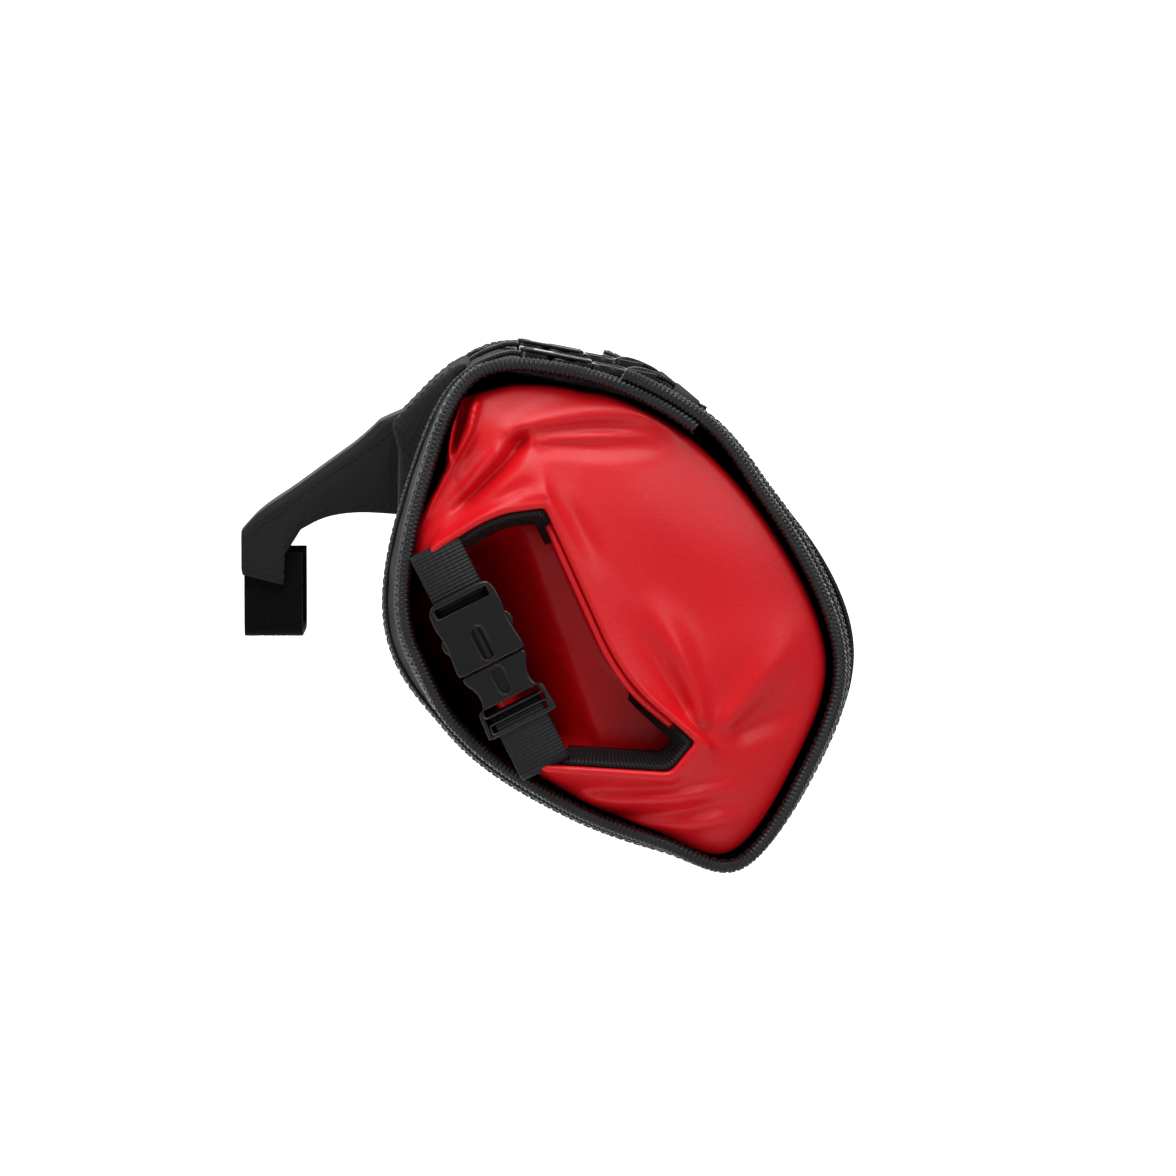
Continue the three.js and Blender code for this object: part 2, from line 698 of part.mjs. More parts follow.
function buckleBody() {
  const half = BUCKLE_WIDTH / 2;
  const length = BUCKLE_LENGTH * BUCKLE_BODY_SHARE;
  const corner = BUCKLE_CORNER;
  const rows = [
    [0, -half + corner],
    [corner, -half],
    [length - corner, -half],
    [length, -half + corner],
    [length, half - corner],
    [length - corner, half],
    [corner, half],
    [0, half - corner],
  ];
  const slot = BUCKLE_SLOT_WIDTH;
  const thick = BUCKLE_THICKNESS / 2;
  let solid = toSolid(plate(rows, -thick, thick)).subtract(toSolid(webbingSlot(BUCKLE_WALL)));
  const cavityStart = 2 * BUCKLE_WALL + slot;
  const cavity = plate(
    rectangle(cavityStart, length + CUT_MARGIN, -half + BUCKLE_WALL, half - BUCKLE_WALL),
    -thick + BUCKLE_WALL,
    thick - BUCKLE_WALL,
  );
  solid = solid.subtract(toSolid(cavity));
  const window = plate(
    rectangle(
      cavityStart + BUCKLE_WINDOW_FROM,
      length - BUCKLE_WINDOW_TO,
      -half - CUT_MARGIN,
      half + CUT_MARGIN,
    ),
    -thick + BUCKLE_WALL,
    thick - BUCKLE_WALL,
  );
  solid = solid.subtract(toSolid(window));
  const view = plate(
    rectangle(
      cavityStart + BUCKLE_VIEW_FROM,
      length - BUCKLE_VIEW_TO,
      -BUCKLE_VIEW_WIDTH / 2,
      BUCKLE_VIEW_WIDTH / 2,
    ),
    -thick - CUT_MARGIN,
    thick + CUT_MARGIN,
  );
  return solid.subtract(toSolid(view));
}

function bucklePronged() {
  const half = BUCKLE_WIDTH / 2;
  const start = BUCKLE_LENGTH * BUCKLE_BODY_SHARE + GAP;
  const thick = BUCKLE_THICKNESS / 2;
  const slot = BUCKLE_SLOT_WIDTH;
  const corner = BUCKLE_BASE_CORNER;
  const base = plate(
    [
      [start, -half],
      [BUCKLE_LENGTH - corner, -half],
      [BUCKLE_LENGTH, -half + corner],
      [BUCKLE_LENGTH, half - corner],
      [BUCKLE_LENGTH - corner, half],
      [start, half],
    ],
    -thick * BUCKLE_BASE_SHARE,
    thick * BUCKLE_BASE_SHARE,
  );
  const inside = thick - BUCKLE_WALL - GAP;
  const tip = 2 * BUCKLE_WALL + slot + BUCKLE_PLAY;
  const root = start + CUT_MARGIN;
  let solid = toSolid(base);
  [0, 1].forEach((step) => {
    const x = BUCKLE_LENGTH - BUCKLE_WALL - slot - step * BUCKLE_SLOT_PITCH;
    solid = solid.subtract(toSolid(webbingSlot(x)));
  });
  [-1, 1].forEach((way) => {
    const outer = way * (half - BUCKLE_WALL - GAP);
    const inner = outer - way * BUCKLE_ARM_WIDTH;
    const low = Math.min(outer, inner);
    const arm = plate(
      rectangle(tip + BUCKLE_ARM_WIDTH, root, low, low + BUCKLE_ARM_WIDTH),
      -inside,
      inside,
    );
    solid = solid.add(toSolid(arm));
  });
  const tongueHalf = BUCKLE_TONGUE_WIDTH / 2;
  const tongue = plate(rectangle(tip, root, -tongueHalf, tongueHalf), -inside, inside);
  return solid.add(toSolid(tongue));
}

const BUCKLE_PIECES = [
  { name: 'body', solid: buckleBody() },
  { name: 'prong', solid: bucklePronged() },
];

// Sets a buckle's two halves at a middle point, with its length and its face turned as given
function placeBuckle(prefix, side, middle, along, face) {
  const across = face.clone().cross(along).normalize();
  const frame = new THREE.Matrix4().makeBasis(along, across, face);
  BUCKLE_PIECES.forEach(({ name, solid }) => {
    const geometry = toGeometry(solid);
    geometry.translate(-BUCKLE_LENGTH / 2, 0, 0);
    geometry.applyMatrix4(frame);
    geometry.translate(middle.x, middle.y, middle.z);
    addPiece(`${prefix}_${name}_${side.name}`, geometry, COLOURS.buckle);
  });
}

// Buckle and its two tabs, across the open side of the rolled ring
function buildClosure(side) {
  const arms = crestPath(RIDGE_THICKNESS);
  const upper = arms[0];
  const lower = arms[arms.length - 1];
  const flat = lower.clone().sub(upper).normalize();
  const along = new THREE.Vector3(flat.x, 0, flat.y);
  const face = new THREE.Vector3(0, side.sign, 0);
  const across = face.clone().cross(along).normalize();
  const y = side.sign * (CREST_Y + BUCKLE_STAND);
  const centre = upper.clone().lerp(lower, 0.5);
  const middle = new THREE.Vector3(centre.x, y, centre.y);
  placeBuckle('closure_buckle', side, middle, along, face);
  const tabWidth = WEBBING_WIDTH - ROLL_TRIM;
  const reach = upper.distanceTo(lower) / 2 - BUCKLE_LENGTH / 2;
  const climb = GAP + WEBBING_THICKNESS / 2 - BUCKLE_STAND;
  [{ name: 'upper', way: -1 }, { name: 'lower', way: 1 }].forEach(({ name, way }) => {
    const start = middle.clone().addScaledVector(along, way * (BUCKLE_LENGTH / 2 + GAP));
    const stations = [0, 0.5, 1].map((share) => ({
      middle: start.clone()
        .addScaledVector(along, way * reach * share)
        .addScaledVector(face, share * climb),
      across,
      normal: face,
    }));
    const geometry = strap(stations, tabWidth, WEBBING_THICKNESS);
    addPiece(`closure_tab_${name}_${side.name}`, geometry, COLOURS.webbing);
  });
}

// Compression straps

// Station of a strap that lies on the wrap at a turn, raised by a height above the wrap's face
function wrapStation(side, turn, height) {
  const y = side.sign * STRAP_OFFSET;
  const [before, point, after] = [-0.5, 0, 0.5].map((step) => wrapPoint(turn + step, y));
  const along = after.clone().sub(before).normalize();
  const normal = new THREE.Vector3(along.y, 0, -along.x);
  const middle = new THREE.Vector3(point.x, y, point.y).addScaledVector(normal, height);
  return { middle, across: new THREE.Vector3(0, 1, 0), normal };
}

function buildCompression(side) {
  const rest = GAP + WEBBING_THICKNESS / 2;
  const seat = wrapStation(side, BUCKLE_TURN, BUCKLE_THICKNESS / 2 + LAP_LIFT + GAP);
  const middle = seat.middle;
  const face = seat.normal;
  const along = new THREE.Vector3(face.z, 0, -face.x);
  placeBuckle('compression_buckle', side, middle, along, face);

  const rear = middle.clone().addScaledVector(along, -BUCKLE_LENGTH / 2 - GAP);
  const anchor = [
    { middle: rear, across: new THREE.Vector3(0, 1, 0), normal: face },
    wrapStation(side, lerp(ANCHOR_TURN, BUCKLE_TURN, ANCHOR_BEND_SHARE), rest + GAP),
    wrapStation(side, ANCHOR_TURN, rest),
  ];
  const anchorPiece = strap(anchor, WEBBING_WIDTH, WEBBING_THICKNESS);
  addPiece(`compression_anchor_${side.name}`, anchorPiece, COLOURS.webbing);

  const lead = middle.clone().addScaledVector(along, BUCKLE_LENGTH / 2 + GAP);
  const stations = [{ middle: lead, across: new THREE.Vector3(0, 1, 0), normal: face }];
  for (let turn = STRAP_FIRST_TURN; turn >= STRAP_LAST_TURN; turn -= STRAP_TURN_STEP) {
    const lap = LAP_LIFT * smooth(STRAP_OFF_LAP_TURN, STRAP_ON_LAP_TURN, turn);
    const share = (STRAP_PROUD_TURN - turn) / (STRAP_PROUD_TURN - STRAP_LAST_TURN);
    const proud = STRAP_PROUD * Math.max(0, Math.sin(share * Math.PI));
    stations.push(wrapStation(side, turn, rest + lap + proud));
  }
  const strapPiece = strap(stations, WEBBING_WIDTH, WEBBING_THICKNESS);
  addPiece(`compression_strap_${side.name}`, strapPiece, COLOURS.webbing);
}

// Back pad

// Outer face of the pad in even steps along its outline
function padFace() {
  const rows = PAD_OUTLINE.map((row) => sectionPoint(row));
  const points = [];
  for (let i = 0; i < rows.length - 1; i += 1) {
    for (let step = 0; step < PAD_STEPS; step += 1) {
      points.push(rows[i].clone().lerp(rows[i + 1], step / PAD_STEPS));
    }
  }
  points.push(rows[rows.length - 1]);
  return points;
}

// Profile of the pad at a distance from the middle: outer face, then back along the wrap
function padRing(y, grow, fill) {
  const outer = padFace();
  const turns = outer.map((point) => Math.atan2(point.y - pole.y, point.x - pole.x) / RAD);
  const seat = shifted(turns.map((turn) => wrapPoint(turn, y)), -GAP);
  const face = outer.map((point, i) => seat[i].clone().lerp(point, fill));
  const grown = grow > 0 ? shifted(face, -grow) : face;
  return raise(grown, y).concat(raise(seat, y).reverse());
}

function padBody(grow) {
  const half = STRAP_OFFSET - WEBBING_WIDTH / 2 - PAD_MARGIN;
  const stops = [
    { y: -half, fill: 0.5 },
    { y: -half + PAD_ROUND, fill: 1 },
    { y: half - PAD_ROUND, fill: 1 },
    { y: half, fill: 0.5 },
  ];
  return skin(stops.map((stop) => padRing(stop.y, grow, stop.fill)));
}

// Saddle

function saddlePoint(row) {
  return [row.x * SADDLE_REACH, row.z * SADDLE_TOP];
}

// Prism of a side-view outline, centred on the middle plane
function prism(rows, width) {
  const geometry = new THREE.ExtrudeGeometry(outlineShape(rows), { depth: width, bevelEnabled: false });
  geometry.translate(0, 0, -width / 2);
  geometry.rotateX(Math.PI / 2);
  return geometry;
}

function buildSaddle() {
  const top = SADDLE_TOP_EDGE.map((row) => saddlePoint(row));
  const lower = SADDLE_LOWER_EDGE.map((row) => saddlePoint(row));
  let solid = toSolid(prism(top.concat(lower), SADDLE_WIDTH));
  const under = shifted(top.map(([x, z]) => new THREE.Vector2(x, z)), SADDLE_WALL);
  const roof = under.map((point) => [point.x, point.y]);
  const far = SADDLE_REACH * 3;
  const channel = [
    [far, -far],
    [far, roof[0][1]],
    ...roof,
    [-far, roof[roof.length - 1][1]],
    [-far, -far],
  ];
  solid = solid.subtract(toSolid(prism(channel, SADDLE_WIDTH - 2 * SADDLE_WALL)));
  solid = solid.subtract(toSolid(padBody(GAP)));
  solid = solid.subtract(toSolid(wrapBlock()));
  addPiece('mount_saddle', toGeometry(solid), COLOURS.saddle);
  addPiece('back_pad', padBody(0), COLOURS.nylon);
}

// Everything in front of the pad's middle, which the saddle's walls stop short of
function wrapBlock() {
  const path = PAD_OUTLINE.map((row) => sectionPoint(row));
  const rear = shifted(path, -GAP).map((point) => [point.x, point.y]);
  const first = rear[0];
  const last = rear[rear.length - 1];
  const far = WRAP_CENTRE_X;
  return prism([...rear, [last[0], -far], [far, -far], [far, first[1]]], SADDLE_WIDTH * 2);
}

function buildStemStrap() {
  const outer = SADDLE_WIDTH / 2 - SADDLE_WALL - GAP;
  const inner = outer - STEM_STRAP_WALL;
  const low = -STEM_STRAP_DROP;
  const high = SADDLE_LOWER_EDGE[1].z * SADDLE_TOP + STEM_STRAP_LAP;
  const round = (outer + inner) / 6;
  const ring = [
    [-outer, high],
    [-outer, low + round],
    [-outer + round, low],
    [outer - round, low],
    [outer, low + round],
    [outer, high],
    [inner, high],
    [inner, low + round],
    [outer - round, low + STEM_STRAP_WALL],
    [-outer + round, low + STEM_STRAP_WALL],
    [-inner, low + round],
    [-inner, high],
  ];
  const rear = -SADDLE_REACH + 1;
  const rings = [rear, rear + STEM_STRAP_WIDTH].map((x) => (
    ring.map(([y, z]) => new THREE.Vector3(x, y, z))
  ));
  addPiece('stem_strap', skin(rings), COLOURS.loop);
}

buildDryBag();
buildWrapPanel();
SIDES.forEach((side) => {
  buildEndBand(side);
  buildRimBinding(side);
  buildSeamBinding(side);
  buildRoll(side);
  buildClosure(side);
  buildCompression(side);
});
buildSaddle();
buildStemStrap();

export default bag;
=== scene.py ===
"""Handlebar bag: a roll-closed dry bag in a fabric wrap, dressed for its photograph.

+X is forward, +Y the rider's left and +Z up, with the handlebar's axis at the origin.
Shapes are worked out in millimetres and become metres where their meshes are made.
"""
import logging
from dataclasses import dataclass, field
from enum import Enum

import bpy
import numpy as np
from mathutils import Matrix, Vector


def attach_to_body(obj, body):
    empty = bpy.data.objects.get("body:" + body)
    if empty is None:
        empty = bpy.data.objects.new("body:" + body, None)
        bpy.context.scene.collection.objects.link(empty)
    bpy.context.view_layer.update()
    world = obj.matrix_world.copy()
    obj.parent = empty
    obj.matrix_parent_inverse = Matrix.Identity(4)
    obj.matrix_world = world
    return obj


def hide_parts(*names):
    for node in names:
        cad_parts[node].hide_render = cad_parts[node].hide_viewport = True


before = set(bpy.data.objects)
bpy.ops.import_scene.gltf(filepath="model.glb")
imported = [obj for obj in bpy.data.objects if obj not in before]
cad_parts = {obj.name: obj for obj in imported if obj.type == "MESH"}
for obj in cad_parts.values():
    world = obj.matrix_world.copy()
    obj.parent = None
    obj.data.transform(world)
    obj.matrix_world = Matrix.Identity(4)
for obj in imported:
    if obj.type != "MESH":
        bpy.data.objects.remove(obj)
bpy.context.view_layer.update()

MM = 0.001
SINES = 5
CORNER_CUTS = 3
log = logging.getLogger("handlebar_bag")

Piece = bpy.types.Object
Socket = bpy.types.NodeSocket
Tree = bpy.types.NodeTree


class End(Enum):
    """The two ends of the bag, each with its name and its side of the middle plane."""

    RIGHT = ("right", -1.0)
    LEFT = ("left", 1.0)

    @property
    def label(self) -> str:
        """Word used in piece names."""
        return self.value[0]

    @property
    def sign(self) -> float:
        """Side of the middle plane."""
        return self.value[1]


# Numbers and curves


def smooth(low: float, high: float, value: np.ndarray) -> np.ndarray:
    """Even step from 0 to 1 between two edges.

    Args:
        low: Edge where the step starts.
        high: Edge where it ends.
        value: Places to evaluate.

    Returns:
        The step's height at each place.
    """
    share = np.clip((np.asarray(value, float) - low) / (high - low), 0.0, 1.0)
    return share * share * (3.0 - 2.0 * share)


def ripple(place: np.ndarray, seed: int) -> np.ndarray:
    """Uneven wave made of a few sines with fixed phases.

    Args:
        place: Places along the wave, with 1 as its longest period.
        seed: Which wave.

    Returns:
        Heights between about -1 and 1.
    """
    source = np.random.default_rng(seed)
    total = np.zeros_like(np.asarray(place, float))
    for step in range(SINES):
        rate = 1.0 + step * source.uniform(0.7, 1.3)
        total += np.sin(2 * np.pi * rate * place + source.uniform(0, 2 * np.pi)) / (1 + 0.6 * step)
    return total / 2.2


def unit(rows: np.ndarray) -> np.ndarray:
    """Rows scaled to length 1."""
    return rows / np.linalg.norm(rows, axis=-1, keepdims=True)


def beside(along: np.ndarray) -> np.ndarray:
    """Directions in the section's plane, turned a quarter clockwise."""
    return np.stack([along[..., 1], -along[..., 0]], -1)


def turns_of(apart: np.ndarray) -> np.ndarray:
    """Turns in degrees of points given by their distances from the pole."""
    return np.degrees(np.arctan2(apart[:, 1], apart[:, 0])) % 360


def in_space(flat: np.ndarray, y: np.ndarray) -> np.ndarray:
    """Points of the section's plane set at distances from the middle plane."""
    return np.stack([flat[..., 0], y, flat[..., 1]], -1)


def run_lengths(points: np.ndarray) -> np.ndarray:
    """Length from a path's start to each of its points."""
    steps = np.linalg.norm(np.diff(points, axis=0), axis=1)
    return np.concatenate([[0.0], np.cumsum(steps)])


def cloth_uv(across: np.ndarray, run: np.ndarray) -> np.ndarray:
    """Lengths along and over a strip at each of its points, in metres."""
    return np.stack(np.meshgrid(across, run), -1)[..., ::-1] * MM


def along_path(points: np.ndarray, places: np.ndarray) -> np.ndarray:
    """Points at given lengths along a path of straight pieces.

    Args:
        points: The path's corners, a row each.
        places: Lengths from its start.

    Returns:
        One row for each place.
    """
    lengths = run_lengths(points)
    return np.stack([np.interp(places, lengths, points[:, k]) for k in range(points.shape[1])], -1)


def path_length(points: np.ndarray) -> float:
    """Length of a path of straight pieces."""
    return float(np.linalg.norm(np.diff(points, axis=0), axis=1).sum())


def rounded_path(corners: list[tuple[float, ...]], step: float) -> np.ndarray:
    """Smooth path near a few corners, in even steps.

    Args:
        corners: The corners, first and last kept.
        step: Length of a step.

    Returns:
        Rows of points.
    """
    points = np.array(corners, float)
    for _ in range(CORNER_CUTS):
        first = points[:-1] * 0.75 + points[1:] * 0.25
        second = points[:-1] * 0.25 + points[1:] * 0.75
        cut = np.empty((2 * len(first), points.shape[1]))
        cut[0::2] = first
        cut[1::2] = second
        points = np.concatenate([points[:1], cut, points[-1:]])
    total = path_length(points)
    return along_path(points, np.linspace(0, total, max(2, int(round(total / step)) + 1)))


# Meshes


def grid_quads(rows: int, columns: int, start: int = 0, closed: bool = False) -> np.ndarray:
    """Quads of a grid of points kept row by row.

    Args:
        rows: Number of rows.
        columns: Number of points in a row.
        start: Index of the first point.
        closed: Whether the last column joins the first.

    Returns:
        One row of four indices for each quad.
    """
    r = np.arange(rows - 1)[:, None]
    c = np.arange(columns if closed else columns - 1)[None, :]
    after = (c + 1) % columns
    quad = [row * columns + column for row, column in ((r, c), (r, after), (r + 1, after), (r + 1, c))]
    return start + np.stack(quad, -1).reshape(-1, 4)


def new_object(name: str, data: bpy.types.ID) -> Piece:
    """New object of some data, linked to the scene."""
    thing = bpy.data.objects.new(name, data)
    bpy.context.scene.collection.objects.link(thing)
    return thing


def make_mesh(
    name: str, points: np.ndarray, faces: list[list[int]], uv: np.ndarray | None = None,
) -> Piece:
    """Mesh object from points in millimetres, with its faces turned outward and shaded smooth.

    Args:
        name: Name of the piece.
        points: Rows of x, y and z.
        faces: Lists of point indices.
        uv: A pair for each point, in metres along the cloth.

    Returns:
        The object, linked to the scene.
    """
    first, second, third = (points[[f[k] for f in faces]] for k in range(3))
    if np.einsum("ij,ij->i", first, np.cross(second, third)).sum() < 0:
        faces = [list(reversed(f)) for f in faces]
    mesh = bpy.data.meshes.new(name)
    mesh.from_pydata((points * MM).tolist(), [], faces)
    if uv is not None:
        corner = np.zeros(len(mesh.loops), np.int32)
        mesh.loops.foreach_get("vertex_index", corner)
        layer = mesh.uv_layers.new(name="cloth")
        layer.data.foreach_set("uv", uv[corner].astype(np.float32).ravel())
    mesh.polygons.foreach_set("use_smooth", np.ones(len(mesh.polygons), bool))
    mesh.update()
    return new_object(name, mesh)


def sheet_mesh(
    name: str, outer: np.ndarray, inner: np.ndarray, uv: np.ndarray | None = None,
) -> Piece:
    """Closed sheet between two grids of points.

    Args:
        name: Name of the piece.
        outer: Grid of points of one face, rows by columns.
        inner: The same grid on the other face.
        uv: A pair for each grid point, in metres.

    Returns:
        The object.
    """
    rows, columns = outer.shape[:2]
    count = rows * columns
    near = grid_quads(rows, columns)
    far = grid_quads(rows, columns, count)[:, ::-1]
    index = np.arange(count).reshape(rows, columns)
    edge = np.concatenate([index[0, :], index[1:, -1], index[-1, -2::-1], index[-2:0:-1, 0]])
    after = np.roll(edge, -1)
    rim = np.stack([after, edge, edge + count, after + count], -1)
    faces = np.concatenate([near, far, rim]).tolist()
    points = np.concatenate([outer.reshape(-1, 3), inner.reshape(-1, 3)])
    pairs = None if uv is None else np.concatenate([uv.reshape(-1, 2)] * 2)
    return make_mesh(name, points, faces, pairs)


def loft_mesh(name: str, rings: np.ndarray, uv: np.ndarray | None = None) -> Piece:
    """Closed skin over rings of equal length, with a flat cap at each end.

    Args:
        name: Name of the piece.
        rings: Rings by points.
        uv: A pair for each point, in metres.

    Returns:
        The object.
    """
    rows, columns = rings.shape[:2]
    faces = grid_quads(rows, columns, closed=True).tolist()
    faces.append(list(range(columns))[::-1])
    faces.append(list(range((rows - 1) * columns, rows * columns)))
    return make_mesh(name, rings.reshape(-1, 3), faces, None if uv is None else uv.reshape(-1, 2))


def many_lofts(name: str, rings: np.ndarray) -> Piece:
    """One mesh of many small closed skins.

    Args:
        name: Name of the piece.
        rings: Skins by rings by points.

    Returns:
        The object.
    """
    count, rows, columns = rings.shape[:3]
    one = grid_quads(rows, columns, closed=True)
    starts = (np.arange(count) * rows * columns)[:, None, None]
    faces = (one[None] + starts).reshape(-1, 4).tolist()
    low = np.arange(columns)[::-1]
    high = np.arange((rows - 1) * columns, rows * columns)
    for start in range(0, count * rows * columns, rows * columns):
        faces.append((low + start).tolist())
        faces.append((high + start).tolist())
    return make_mesh(name, rings.reshape(-1, 3), faces)


def stitches(
    name: str, middles: np.ndarray, normals: np.ndarray, length: float = 2.3, width: float = 0.55,
) -> Piece:
    """A row of sewn stitches, each a short rounded thread that dips at its ends.

    Args:
        name: Name of the piece.
        middles: Place of each stitch on the cloth, in order along the seam.
        normals: Direction out of the cloth.
        length: Length of a stitch.
        width: Width of the thread.

    Returns:
        The object.
    """
    along = unit(np.gradient(middles, axis=0))
    normals = unit(normals)
    across = np.cross(along, normals)
    turns = np.arange(6) * np.pi / 3
    rings = []
    for share, size, lift in ((-0.5, 0.35, -0.3), (-0.28, 1.0, 0.25), (0.28, 1.0, 0.25), (0.5, 0.35, -0.3)):
        centre = middles + along * length * share + normals * width * lift
        rings.append(np.stack([
            centre + (across * np.cos(t) + normals * np.sin(t) * 0.8) * width * 0.5 * size for t in turns
        ], 1))
    return many_lofts(name, np.stack(rings, 1))


def attach(
    piece: Piece, slot: str, material: bpy.types.Material, *nodes: str,
) -> Piece:
    """Dresses a piece, fixes it to the frame and lets it stand for its solids.

    Args:
        piece: The piece.
        slot: Slot of the record that its finish comes from; not used.
        material: Its material.
        nodes: Solids that it stands for.

    Returns:
        The same piece.
    """
    piece.data.materials.clear()
    piece.data.materials.append(material)
    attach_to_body(piece, "root")
    if nodes:
        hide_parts(*nodes)
    return piece


# Finishes


def linear(hex_colour: str) -> tuple[float, float, float, float]:
    """Linear colour of an sRGB hex value.

    Args:
        hex_colour: Six hex digits.

    Returns:
        Red, green, blue and alpha.
    """
    parts = [int(hex_colour[i:i + 2], 16) / 255 for i in (0, 2, 4)]
    flat = [p / 12.92 if p <= 0.04045 else ((p + 0.055) / 1.055) ** 2.4 for p in parts]
    return (flat[0], flat[1], flat[2], 1.0)


def add_node(tree: Tree, kind: str, inputs: dict | None = None, **settings) -> bpy.types.Node:
    """Adds one node with its settings, values and links.

    Args:
        tree: The material's node tree.
        kind: Blender's name of the node type.
        inputs: Values or output sockets by input name or number.
        settings: Attributes of the node.

    Returns:
        The node.
    """
    node = tree.nodes.new(kind)
    for name, value in settings.items():
        setattr(node, name, value)
    for name, value in (inputs or {}).items():
        if isinstance(value, Socket):
            tree.links.new(value, node.inputs[name])
        else:
            node.inputs[name].default_value = value
    return node


class Pattern(Enum):
    """How a cloth was made, which sets its surface pattern."""

    PLAIN_WEAVE = "plain weave"
    RIBBED = "ribbed tape and webbing"
    GRAINED = "coated and grained"
    PILE = "hook and loop"
    MOULDED = "moulded"


@dataclass(frozen=True)
class Finish:
    """A surface finish: what it is made of, its colours and its pattern at its real scale."""

    name: str
    pattern: Pattern
    dark: str
    light: str
    roughness: float
    pitch_mm: float
    relief_mm: float
    sheen: float = 0.0
    sheen_roughness: float = 0.4
    specular: float = 0.5
    cloud_mm: float = 30.0
    # Share of the tone painted lighter on the relief's crests: a painted highlight.
    pattern_share: float = 0.55
    cloud_share: float = 0.45
    wear: float = 0.16
    stops: tuple[float, float] = (0.2, 0.8)

    def build(self) -> bpy.types.Material:
        """Makes the node material.

        Returns:
            The material.
        """
        material = bpy.data.materials.new(self.name)
        material.use_nodes = True
        tree = material.node_tree
        tree.nodes.clear()
        place = add_node(tree, "ShaderNodeTexCoord").outputs
        cloud = add_node(
            tree, "ShaderNodeTexNoise",
            {"Vector": place["Object"], "Scale": 1 / (self.cloud_mm * MM), "Detail": 4.0, "Roughness": 0.6},
        ).outputs["Fac"]
        height = self.relief(tree, place)
        # Painted highlight: the relief's height also lightens the colour, so the crests of ribs, threads and
        # grain are painted lighter and the hollows between them darker, as painted shade.
        painted_crest_highlight = add_node(tree, "ShaderNodeMath", {0: height, 1: self.pattern_share}, operation="MULTIPLY")
        tone = add_node(
            tree, "ShaderNodeMath", {0: cloud, 1: self.cloud_share, 2: painted_crest_highlight.outputs[0]},
            operation="MULTIPLY_ADD",
        )
        colour = add_node(tree, "ShaderNodeValToRGB", {"Fac": tone.outputs[0]})
        shades = (self.dark, self.light)
        for element, stop, shade in zip(colour.color_ramp.elements, self.stops, shades):
            element.position = stop
            element.color = linear(shade)
        worn = add_node(
            tree, "ShaderNodeMath", {0: cloud, 1: self.wear, 2: self.roughness - self.wear / 2},
            operation="MULTIPLY_ADD",
        )
        bump = add_node(
            tree, "ShaderNodeBump", {"Height": height, "Strength": 1.0, "Distance": self.relief_mm * MM},
        )
        shader = add_node(
            tree, "ShaderNodeBsdfPrincipled",
            {
                "Base Color": colour.outputs["Color"], "Roughness": worn.outputs[0],
                "Normal": bump.outputs["Normal"], "Sheen Weight": self.sheen,
                "Sheen Roughness": self.sheen_roughness, "Specular IOR Level": self.specular,
            },
        )
        add_node(tree, "ShaderNodeOutputMaterial", {"Surface": shader.outputs["BSDF"]})
        return material

    def wave(self, tree: Tree, axis: Socket, pitch_mm: float) -> Socket:
        """Row of rounded ribs from 0 to 1 along one coordinate.

        Args:
            tree: The material's node tree.
            axis: The coordinate, in metres.
            pitch_mm: Distance from rib to rib.

        Returns:
            The height's socket.
        """
        turn = add_node(tree, "ShaderNodeMath", {0: axis, 1: np.pi / (pitch_mm * MM)}, operation="MULTIPLY")
        sine = add_node(tree, "ShaderNodeMath", {0: turn.outputs[0]}, operation="SINE")
        return add_node(tree, "ShaderNodeMath", {0: sine.outputs[0]}, operation="ABSOLUTE").outputs[0]

    def relief(self, tree: Tree, place: bpy.types.bpy_prop_collection) -> Socket:
        """Height of the surface pattern, from 0 to 1.

        Args:
            tree: The material's node tree.
            place: Outputs of the coordinate node.

        Returns:
            The height's socket.
        """
        if self.pattern in (Pattern.GRAINED, Pattern.MOULDED, Pattern.PILE):
            grain = add_node(
                tree, "ShaderNodeTexNoise",
                {"Vector": place["Object"], "Scale": 1 / (self.pitch_mm * MM), "Detail": 3.0,
                 "Roughness": 0.65},
            ).outputs["Fac"]
            if self.pattern is Pattern.GRAINED:
                cell = add_node(
                    tree, "ShaderNodeTexVoronoi",
                    {"Vector": place["Object"], "Scale": 1 / (2.2 * self.pitch_mm * MM)},
                    feature="SMOOTH_F1",
                ).outputs["Distance"]
                return add_node(
                    tree, "ShaderNodeMath", {0: cell, 1: 0.5, 2: grain}, operation="MULTIPLY_ADD",
                ).outputs[0]
            return grain
        axes = add_node(tree, "ShaderNodeSeparateXYZ", {"Vector": place["UV"]}).outputs
        if self.pattern is Pattern.PLAIN_WEAVE:
            warp = self.wave(tree, axes["X"], self.pitch_mm)
            weft = self.wave(tree, axes["Y"], self.pitch_mm)
            over = add_node(
                tree, "ShaderNodeTexChecker",
                {"Vector": place["UV"], "Color1": (0, 0, 0, 1), "Color2": (1, 1, 1, 1),
                 "Scale": 1 / (self.pitch_mm * MM)},
            ).outputs["Fac"]
            return add_node(tree, "ShaderNodeMix", {0: over, 2: warp, 3: weft}, data_type="FLOAT").outputs[0]
        ribs = self.wave(tree, axes["X"], self.pitch_mm)
        rows = self.wave(tree, axes["Y"], self.pitch_mm * 2.0)
        return add_node(
            tree, "ShaderNodeMath", {0: rows, 1: 0.35, 2: ribs}, operation="MULTIPLY_ADD",
        ).outputs[0]


# Dry-bag fabric: nylon with a welded urethane coat. It gives broad soft gloss and a faint pebble.
RED_COATED = Finish(
    "urethane coated nylon, calendered, red", Pattern.GRAINED,
    "C40B15", "DA111C", 0.36, 0.5, 0.05, specular=0.32, cloud_mm=45.0,
)
# Wrap: plain-woven nylon. Its threads are drawn at 0.9 mm so that the weave shows.
BLACK_NYLON = Finish(
    "nylon, plain woven, black", Pattern.PLAIN_WEAVE, "0A0A0B", "19191B", 0.8, 0.9, 0.12, sheen=0.06,
    specular=0.25,
)
